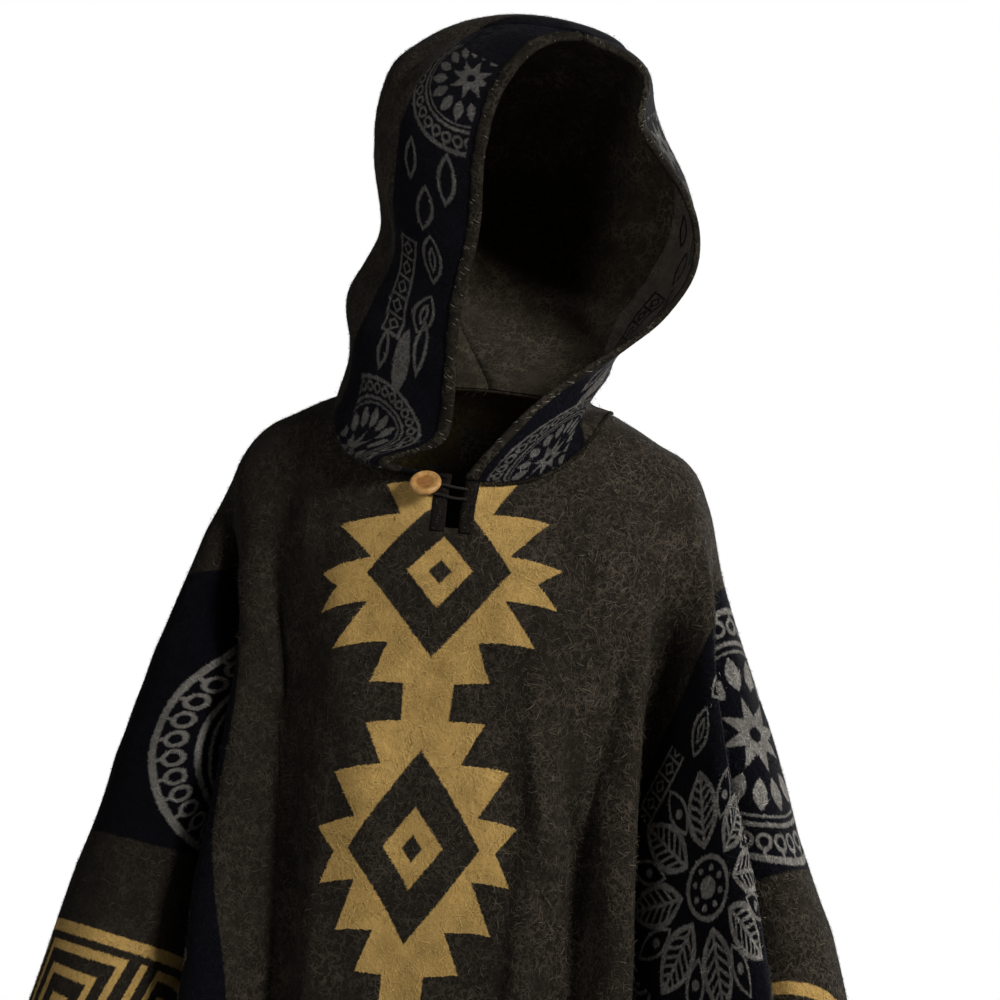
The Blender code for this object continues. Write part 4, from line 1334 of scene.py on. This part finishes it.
def threads_from(name, look, threads, radius, sides):
    """One mesh of round threads, each given by its points."""
    bm = bmesh.new()
    for thread in threads:
        tube_along(bm, thread, radius, sides)
    bmesh.ops.recalc_face_normals(bm, faces=bm.faces)
    return object_from(bm, name, look)


STRIP_THICKNESS = 0.0004


def strip_from(name, look, profile, rows, place):
    """A thin strip: its profile, carried along the rows."""
    bm = bmesh.new()
    inward, height = np.transpose(profile)

    def at(k, row):
        return place(inward[k], height[k], row)

    mapped_grid(bm, list(range(len(profile))), list(rows), at)
    close_up(bm)
    strip = object_from(bm, name, look)
    give_wall(strip, STRIP_THICKNESS)
    return strip


# The bound edge: its outside first, then round to the inside, and which of its rows have stitches.
# rows: distance in from the face edge, height above the cloth's middle
BINDING_PROFILE = (
    (0.0084, 0.0013), (0.0076, 0.0022), (0.0056, 0.0026), (0.0034, 0.0026), (0.0012, 0.0023),
    (-0.0006, 0.0012), (-0.0010, -0.0004), (-0.0003, -0.0018), (0.0014, -0.0024), (0.0034, -0.0020),
    (0.0040, -0.0013),
)
BINDING_FROM = {"right": 0.021, "left": 0.003}       # t at which it starts, above the neck seam
STITCHED_ROWS, STITCH_SPACING, THREAD_RADIUS = 8, 0.0030, 0.00032


def binding_point(side, inward, t, height):
    """A point beside the face edge of the hood."""
    step = 0.02
    near = np.linalg.norm(hood(side, step, t) - hood(side, 0.0, t), axis=-1)
    q = np.maximum(step * inward / near, 0.0)
    point = hood_point(side, q, t, height)
    beyond = np.minimum(inward, 0.0)[..., None]
    edge_way = hood(side, 0.0, t) - hood(side, step, t)
    point = point - edge_way / np.linalg.norm(edge_way, axis=-1, keepdims=True) * beyond
    return point + (CROWN - hood(side, 0.0, HOOD_TOP)) * smoothstep((t - HOOD_TOP + 0.03) / 0.03)[..., None]


CROWN = (hood("right", 0.0, HOOD_TOP) + hood("left", 0.0, HOOD_TOP)) / 2


def hood_binding(side, look):
    """The overlocked edge, wrapped from the outside round to the inside."""
    rows = np.linspace(BINDING_FROM[side], HOOD_TOP, 150)

    def place(inward, height, t):
        uneven = 1 + 0.06 * np.sin(t * 190) + 0.05 * np.sin(t * 83 + 1)
        return binding_point(side, inward * uneven, t, height), np.stack([inward, t], -1)

    return strip_from("hood_edge_" + side, look, BINDING_PROFILE, rows, place)


def hood_stitches(side, look):
    """What shows of the slanted overlock threads over the bound edge."""
    t = np.linspace(BINDING_FROM[side], HOOD_TOP, 400)
    run = np.cumsum(np.linalg.norm(np.diff(hood(side, 0.0, t), axis=0), axis=-1))
    chance = np.random.default_rng(5)
    along = np.arange(0.002, run[-1], STITCH_SPACING)
    places = np.interp(along + chance.normal(0, 0.0009, len(along)), run, t[1:])
    slant = STITCH_SPACING * (t[-1] - t[0]) / run[-1]
    inward, height = np.array(BINDING_PROFILE)[:STITCHED_ROWS].T
    at = np.minimum(places[:, None] + slant * np.linspace(0.8, 0, len(inward)), HOOD_TOP)
    inward = inward + 0.0003 * np.sin(2.4 * np.arange(len(places)))[:, None]
    threads = binding_point(side, inward, at, np.broadcast_to(height + 0.00022, at.shape))
    firsts, lengths = chance.integers(-6, 6, len(threads)), chance.integers(2, 4, len(threads))
    shown = [thread[k : k + n] for thread, k, n in zip(threads, firsts, lengths) if k >= 0]
    return threads_from("hood_edge_stitches_" + side, look, shown, THREAD_RADIUS, 4)


# rows: distance in from the slit's edge, height above the cloth's middle
PLACKET_PROFILE = (
    (PLACKET_WIDTH, 0.0013), (PLACKET_WIDTH - 0.0006, 0.0019), (0.0070, 0.0021), (0.0035, 0.0021),
    (0.0008, 0.0019), (-0.0005, 0.0009), (-0.0006, -0.0006), (0.0002, -0.0017), (0.0030, -0.0019),
)
SLIT_END = NECK_DEPTH["front"] + SLIT_LENGTH


def placket(side, look):
    """The bound strip along one edge of the slit, rounded over that edge."""
    rows = np.linspace(NECK_DEPTH["front"] - 0.004, SLIT_END + PLACKET_TAIL, 44)

    def place(inward, height, v):
        u = SIGN[side] * (SLIT_HALF + inward + 0.0004 * np.sin(150 * v + SIGN[side]))
        return above_cloth(u, v, height[:, None]), np.stack([u, v], -1)

    return strip_from("slit_edge_" + side, look, PLACKET_PROFILE, rows, place)


def placket_stitches(side, look):
    """Short slanted stitches scattered over the strip."""
    top, bottom = NECK_DEPTH["front"] + 0.002, SLIT_END + PLACKET_TAIL - 0.002
    at = np.arange(top, bottom, 0.0021)[:, None] + np.linspace(0, 0.0010, 3)
    chance = np.random.default_rng(8 + SIGN[side])
    across = chance.uniform(0.0010, 0.0080, len(at))[:, None] + np.array([0.0016, 0.0008, 0.0])
    points = above_cloth(SIGN[side] * (SLIT_HALF + across), at, np.full(at.shape + (1,), 0.0024))
    shown = points[chance.random(len(at)) < 0.6]
    return threads_from("slit_edge_stitches_" + side, look, shown, THREAD_RADIUS, 4)


def neck_seam(look):
    """The ridge where the hood is sewn to the neck hole, with its overcast threads."""
    turns = np.linspace(0.11, pi, 131)
    at = turns[:-1, None] + np.diff(turns)[:, None] * np.linspace(0, 1, 4)
    at = np.concatenate([at, -at])
    swing = 0.0012 + np.array([-0.0008, 0.0016, 0.0022, 0.0004])
    u, v = neck(at)
    u, v = u + np.sin(at) * swing, v + np.cos(at) * swing
    heights = np.broadcast_to(np.array([0.0030, 0.0026, 0.0022, 0.0032]), at.shape)
    return threads_from("neck_seam_threads", look, above_cloth(u, v, heights[..., None]), 0.0007, 5)


# ---------------------------------------------------------------- button and loop
BUTTON_LIFT = 0.0115                  # of its back above the middle of the cloth
BUTTON_TILT = radians(-25)            # its upper edge leans in to the cloth
BUTTON_TURNS = 56
SHADED_DISH_RADIUS, SHADED_DISH_FROM = 0.58, 0.3    # the dish painted darker as shade: shares of the radius and of the thickness
SHANK_RADIUS = 0.0016
# rows: radius as a share of the button's, height as a share of its thickness
BUTTON_PROFILE = (
    (0.00, 0.70), (0.30, 0.70), (0.45, 0.72), (0.56, 0.78), (0.66, 0.90), (0.76, 0.99),
    (0.84, 1.00), (0.91, 0.93), (0.96, 0.80), (0.99, 0.62), (1.00, 0.48), (0.99, 0.34),
    (0.95, 0.18), (0.88, 0.05), (0.80, 0.00), (0.30, 0.00),
)


def frame_on_cloth(u, v, height):
    """A frame on the cloth: X across it, Z out of it."""
    point, normal = Vector(above_cloth(u, v, height)), Vector(cloth_normal(u, v))
    across = Vector((1, 0, 0)) - normal * normal.x
    across.normalize()
    facing = Matrix((across, normal.cross(across), normal)).transposed().to_4x4()
    return Matrix.Translation(point) @ facing


def button(look, shaded_dish_look):
    """A turned wooden disc with a raised rim and a dish painted darker as shade, on a shank of thread."""
    bm = bmesh.new()
    low = -(BUTTON_LIFT - CLOTH_THICKNESS / 2 - SEAM_GAP)
    rows = [(r * BUTTON_RADIUS, h * BUTTON_THICKNESS) for r, h in BUTTON_PROFILE]
    rows += [(SHANK_RADIUS, -0.0002), (SHANK_RADIUS, low), (0.0, low)]
    verts = [bm.verts.new((x, 0, z)) for x, z in rows]
    edges = [bm.edges.new(pair) for pair in zip(verts, verts[1:])]
    bmesh.ops.spin(
        bm, geom=verts + edges, cent=(0, 0, 0), axis=(0, 0, 1),
        angle=2 * pi, steps=BUTTON_TURNS, use_merge=True,
    )
    bmesh.ops.remove_doubles(bm, verts=bm.verts, dist=0.00001)
    bmesh.ops.recalc_face_normals(bm, faces=bm.faces)
    for face in bm.faces:
        middle = face.calc_center_median()
        in_shaded_dish = middle.xy.length < SHADED_DISH_RADIUS * BUTTON_RADIUS
        face.material_index = int(in_shaded_dish and middle.z > SHADED_DISH_FROM * BUTTON_THICKNESS)
    bmesh.ops.rotate(bm, matrix=Matrix.Rotation(BUTTON_TILT, 3, "X"), verts=bm.verts)
    bmesh.ops.transform(bm, matrix=frame_on_cloth(*BUTTON_PLACE, BUTTON_LIFT), verts=bm.verts)
    return object_from(bm, "wooden_button", look, shaded_dish_look)


LOOP_HALF = 0.0036                    # half the distance between the cord's ends
PLY_OFF, PLY_RADIUS, PLY_TURN = LOOP_CORD * 0.24, LOOP_CORD * 0.29, 0.0052


def cord_loop(look):
    """The doubled cord from the far strip round the button's shank, laid as two twisted plies."""
    lift = CLOTH_THICKNESS / 2 + LOOP_CORD / 2 + 0.0014
    ring = SHANK_RADIUS + LOOP_CORD / 2 + 0.0006
    (bu, bv), (fu, fv), half = BUTTON_PLACE, LOOP_FOOT, LOOP_HALF
    flat = [(fu, fv - half), (fu - 0.008, fv - half - 0.0003), (bu + 0.010, bv - ring * 1.05)]
    flat += [(bu + ring * sin(a), bv - ring * cos(a)) for a in np.linspace(0.2, -pi - 0.2, 9)]
    flat += [(bu + 0.010, bv + ring * 1.25), (fu - 0.008, fv + half + 0.0005), (fu, fv + half)]
    flat = np.array(flat)
    steps = np.concatenate([[0], np.cumsum(np.linalg.norm(np.diff(flat, axis=0), axis=1))])
    run = np.linspace(0, steps[-1], 150)
    u, v = (curve_through(steps, column, run) for column in flat.T)
    plies = []
    for start in (0.0, pi):
        turn = start + run / PLY_TURN * 2 * pi
        height = lift + PLY_OFF * np.cos(turn)
        plies.append(above_cloth(u, v + PLY_OFF * np.sin(turn), height[:, None]))
    return threads_from("cord_loop_plies", look, plies, PLY_RADIUS, 8)


# ---------------------------------------------------------------- the long nap
FIBRE_LENGTH, FIBRE_WIDTH = (0.004, 0.012), 0.00034
# Each fibre is a flat blade in three stretches.  rows: share of its curl, how it rises or sinks
FIBRE_STRETCHES = ((0.0, 1.0), (1.0, 0.3), (1.6, -0.5))
BLADE_CORNERS, BLADE_FACES_AT = [0, 1, 2, 1, 3, 4, 2, 3, 5, 4], [0, 3, 7]


def read_all(items, quality, width, kind=float):
    """A quality of every item of a mesh, in rows of that width."""
    values = np.empty(len(items) * width, kind)
    items.foreach_get(quality, values)
    return values.reshape(-1, width)


def unit(vectors):
    return vectors / np.linalg.norm(vectors, axis=1, keepdims=True)


def turned(vectors, axis, angle):
    return vectors * np.cos(angle) + np.cross(axis, vectors) * np.sin(angle)


def flat_places(corners, root, sides, flat, uv_sides):
    """Where points near a triangle's root lie on the flat cloth, from the triangle's two sides."""
    first_side, second_side = sides
    pairs = ((first_side, first_side), (first_side, second_side), (second_side, second_side))
    dots = [np.sum(p * q, 1)[:, None] for p, q in pairs]
    off = corners - root[:, None]
    along = [np.einsum("nkc,nc->nk", off, side) for side in sides]
    scale = np.maximum(dots[0] * dots[2] - dots[1] ** 2, 1e-14)
    first = (along[0] * dots[2] - along[1] * dots[1]) / scale
    second = (along[1] * dots[0] - along[0] * dots[1]) / scale
    moved = sum(share[..., None] * way[:, None] for share, way in zip((first, second), uv_sides))
    return flat[:, None] + 0.85 * moved


def blades(name, look, corners, flat, shade):
    """One mesh of blades of six corners, with their flat places and shades."""
    count, per_blade = corners.shape[:2]
    loops = (np.arange(count) * per_blade)[:, None] + BLADE_CORNERS
    starts = (np.arange(count) * len(BLADE_CORNERS))[:, None] + BLADE_FACES_AT
    mesh = bpy.data.meshes.new(name)
    mesh.vertices.add(count * per_blade)
    mesh.vertices.foreach_set("co", corners.ravel())
    mesh.loops.add(loops.size)
    mesh.loops.foreach_set("vertex_index", loops.ravel())
    mesh.polygons.add(starts.size)
    mesh.polygons.foreach_set("loop_start", starts.ravel())
    mesh.update(calc_edges=True)
    mesh.validate()
    mesh.uv_layers.new(name="flat").data.foreach_set("uv", flat[:, BLADE_CORNERS].ravel())
    shades = mesh.attributes.new("shade", "FLOAT", "POINT")
    shades.data.foreach_set("value", np.repeat(shade, per_blade))
    mesh.materials.append(look)
    mesh.shade_smooth()
    made = bpy.data.objects.new(name, mesh)
    poncho.objects.link(made)
    return made


def fibres(name, source, look, count, seed, keep):
    """Loose curling fibres over the outer face of a cloth piece, as one mesh of small blades."""
    chance = np.random.default_rng(seed)
    mesh = source.data
    mesh.calc_loop_triangles()
    points, normals = (read_all(mesh.vertices, quality, 3) for quality in ("co", "normal"))
    corner_uv = read_all(mesh.uv_layers["flat"].data, "uv", 2)
    triangles, loops = (read_all(mesh.loop_triangles, quality, 3, int) for quality in ("vertices", "loops"))

    # where they grow
    middle_uv = corner_uv[loops].mean(1)
    a, b, c = (points[triangles[:, k]] for k in range(3))
    area = np.linalg.norm(np.cross(b - a, c - a), axis=1) * keep(middle_uv[:, 0], middle_uv[:, 1])
    chosen = chance.choice(len(area), count, p=area / area.sum())
    first, second = chance.random((2, count))
    over = first + second > 1
    first, second = np.where(over, 1 - first, first), np.where(over, 1 - second, second)
    weights = np.stack([1 - first - second, first, second], 1)[..., None]
    root = (points[triangles[chosen]] * weights).sum(1)
    normal = unit((normals[triangles[chosen]] * weights).sum(1))
    uv_corners = corner_uv[loops[chosen]]
    flat = (uv_corners * weights).sum(1)
    sides = b[chosen] - a[chosen], c[chosen] - a[chosen]

    # how they lie
    x, y = flat.T
    swirl = 2.2 * np.sin(47 * x + 21 * y) + 2.0 * np.sin(39 * y - 26 * x + 1.3) + chance.normal(0, 0.9, count)
    way = turned(unit(sides[0]), normal, swirl[:, None])
    long = chance.uniform(*FIBRE_LENGTH, count)[:, None]
    rise = chance.uniform(0.02, 0.30, count)[:, None] ** 1.3
    curl = chance.normal(0, 0.95, count)[:, None]
    spine = [root + normal * (CLOTH_THICKNESS / 2 + 0.0001)]
    for bend, lift in FIBRE_STRETCHES:
        way = turned(way, normal, curl * bend)
        spine.append(spine[-1] + (way + normal * rise * lift) * long / 3)
    half = np.cross(normal, way) * FIBRE_WIDTH / 2 * chance.uniform(0.6, 1.4, count)[:, None]
    foot, low, high, tip = spine
    corners = np.stack([foot, low - half, low + half, high - half, high + half, tip], 1)

    # the cloth's colour under them, and how pale they are, with painted shade towards the wearer's right
    uv_sides = [uv_corners[:, k] - uv_corners[:, 0] for k in (1, 2)]
    flat = flat_places(corners, root, sides, flat, uv_sides)
    # painted shade: the fibres are paler towards the wearer's left and darker towards the right, as the light
    # falls
    raised = np.clip((root[:, 0] + NAP_SHADE_FROM) / NAP_SHADE_RUN, 0, 1) * (1 - NAP_SHADE_LEAST) + NAP_SHADE_LEAST
    shade = (chance.random(count) ** 2.2 * 0.85 + 0.04) * raised
    return blades(name, look, corners, flat, shade)


# ---------------------------------------------------------------- the poncho
scene = bpy.context.scene
poncho = bpy.data.collections.new("poncho")
scene.collection.children.link(poncho)

cloth_outer = cloth_material("blanket_outer_face")
cloth_inner = cloth_material("blanket_inner_face", inner=True)
hood_outer = cloth_material("hood_outer_face", hood=True)
hood_inner = cloth_material("hood_inner_face", inner=True, hood=True)
edging = strip_material("overlock_edging", EDGING)
# painted shade: the slit's strips and their thread are darker copies of the edging and the stitching
shaded_slit_edging = strip_material("edging_painted_shade", SLIT_EDGING_SHADED)
stitching = thread_material("pale_stitching", (0.110, 0.096, 0.075), 0.5)
shaded_slit_stitching = thread_material("stitching_painted_shade", (0.040, 0.034, 0.027), 0.4)
cord_fibre = thread_material("dark_cord", (0.022, 0.019, 0.016))
wood = wood_material("turned_wood", (0.30, 0.150, 0.042), (0.46, 0.265, 0.090))
# the button's dish: the same wood painted darker, as painted shade
shaded_dish_wood = wood_material("wood_painted_shade", (0.20, 0.080, 0.022), (0.33, 0.155, 0.050))

cloth_sheet = blanket(cloth_outer, cloth_inner)
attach(cloth_sheet, "root")
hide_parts("front", "back")
halves = {side: hood_half(side, hood_outer, hood_inner) for side in SIGN}
for side, half in halves.items():
    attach(half, "root")
    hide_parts("hood_" + side)
    for node, strip, stitches in (
        ("hood_binding_" + side, hood_binding(side, edging), hood_stitches(side, stitching)),
        ("placket_" + side, placket(side, shaded_slit_edging), placket_stitches(side, shaded_slit_stitching)),
    ):
        for piece in (strip, stitches):
            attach(piece, "root")
        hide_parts(node)

seam = neck_seam(edging)
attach(seam, "root")
disc = button(wood, shaded_dish_wood)
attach(disc, "root")
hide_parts("button")
looped = cord_loop(cord_fibre)
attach(looped, "root")
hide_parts("button_loop")


LOWER_FRONT = 0.45           # v below which the nap of the front is one piece
BUTTON_CLEAR = 0.017         # no nap within this of the button
TRIM_HALF, TRIM_TOP, TRIM_BOTTOM = 0.021, 0.11, 0.178       # nor round the slit


def clear_of_trim(u, v):
    """True away from the slit, its strips and the button."""
    by_button = np.hypot(u - BUTTON_PLACE[0], v - BUTTON_PLACE[1]) < BUTTON_CLEAR
    by_slit = (np.abs(u) < TRIM_HALF) & (v > TRIM_TOP) & (v < TRIM_BOTTOM)
    return ~by_button & ~by_slit


def upper_front(u, v):
    return (v > 0) & (v < LOWER_FRONT) & clear_of_trim(u, v)


blanket_nap, hood_nap = fibre_material("blanket_nap"), fibre_material("hood_nap", hood=True)
for name, source, look, count, seed, keep, slot in (
    ("nap_front_right", cloth_sheet, blanket_nap, 44000, 11,
     lambda u, v: (u < 0) & upper_front(u, v), "blanket"),
    ("nap_front_left", cloth_sheet, blanket_nap, 44000, 16,
     lambda u, v: (u > 0) & upper_front(u, v), "blanket"),
    ("nap_front_lower", cloth_sheet, blanket_nap, 20000, 12, lambda u, v: v >= LOWER_FRONT, "blanket"),
    ("nap_back", cloth_sheet, blanket_nap, 36000, 13, lambda u, v: v <= 0, "blanket"),
    ("nap_hood_right", halves["right"], hood_nap, 16000, 14, lambda x, y: x > 0.008, "hood_cloth"),
    ("nap_hood_left", halves["left"], hood_nap, 8000, 15, lambda x, y: x > 0.008, "hood_cloth"),
):
    made = fibres(name, source, look, count, seed, keep)
    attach(made, "root")


# ---------------------------------------------------------------- view, light and floor
def light(name, kind, place, toward, power):
    made = bpy.data.lights.new(name, kind)
    made.energy = power
    lamp = bpy.data.objects.new(name, made)
    lamp.location = place
    lamp.rotation_euler = (Vector(toward) - Vector(place)).to_track_quat("-Z", "Y").to_euler()
    scene.collection.objects.link(lamp)
    return made


CAMERA_DISTANCE, FOCAL_LENGTH = 1.6, 73.85
ROOM_LIGHT = 0.06            # the backdrop is white to the camera and lights the cloth only this much
FLOOR_HEIGHT = -1.42
aim, turn, roll = Vector((0.022, 0.0, -0.037)), radians(7), radians(5.7)
away = Vector((sin(turn), -cos(turn), 0))
right = Vector((cos(turn), sin(turn), 0))
up = Vector((0, 0, 1)) * cos(roll) - right * sin(roll)
across = right * cos(roll) + Vector((0, 0, 1)) * sin(roll)
lens = bpy.data.cameras.new("camera")
lens.sensor_width, lens.lens = 36.0, FOCAL_LENGTH
camera = bpy.data.objects.new("camera", lens)
turned_to_aim = Matrix((across, up, away)).transposed().to_4x4()
camera.matrix_world = Matrix.Translation(aim + away * CAMERA_DISTANCE) @ turned_to_aim
scene.collection.objects.link(camera)
scene.camera = camera

for name, place, toward, size, power in (
    ("key", (2.00, -1.75, 1.25), (0.05, 0, -0.10), 0.7, 92),
    ("side", (2.3, -0.8, -0.1), (0.1, 0, -0.25), 1.0, 12),
    ("fill", (-1.7, -1.5, 0.5), (0, 0, -0.1), 1.4, 10),
    ("back", (1.7, 2.4, 0.9), (0, 0, -0.3), 1.2, 75),
):
    disc_light = light(name, "AREA", place, toward, power)
    disc_light.shape, disc_light.size = "DISK", size
hood_light = light("hood", "SPOT", (-0.45, -1.55, 0.35), (0.11, 0, 0.18), 42)
hood_light.spot_size, hood_light.spot_blend, hood_light.shadow_soft_size = radians(17), 0.9, 0.25

world = bpy.data.worlds.new("white_room")
world.use_nodes = True
scene.world = world
nodes, links = world.node_tree.nodes, world.node_tree.links
backdrop = nodes["Background"]
backdrop.inputs["Color"].default_value = (1, 1, 1, 1)
dim = nodes.new("ShaderNodeBackground")
dim.inputs["Color"].default_value = (0.95, 0.97, 1.0, 1)
dim.inputs["Strength"].default_value = ROOM_LIGHT
seen, both = nodes.new("ShaderNodeLightPath"), nodes.new("ShaderNodeMixShader")
links.new(seen.outputs["Is Camera Ray"], both.inputs[0])
links.new(dim.outputs[0], both.inputs[1])
links.new(backdrop.outputs[0], both.inputs[2])
links.new(both.outputs[0], nodes["World Output"].inputs["Surface"])

bpy.ops.mesh.primitive_plane_add(size=4, location=(0, 0, FLOOR_HEIGHT))
floor = bpy.context.object
floor.name = "pale_floor"
floor.data.materials.append(new_material("pale_floor", (0.8, 0.8, 0.8), 0.9)[0])

scene.view_settings.view_transform = "Standard"
scene.view_settings.look = "None"
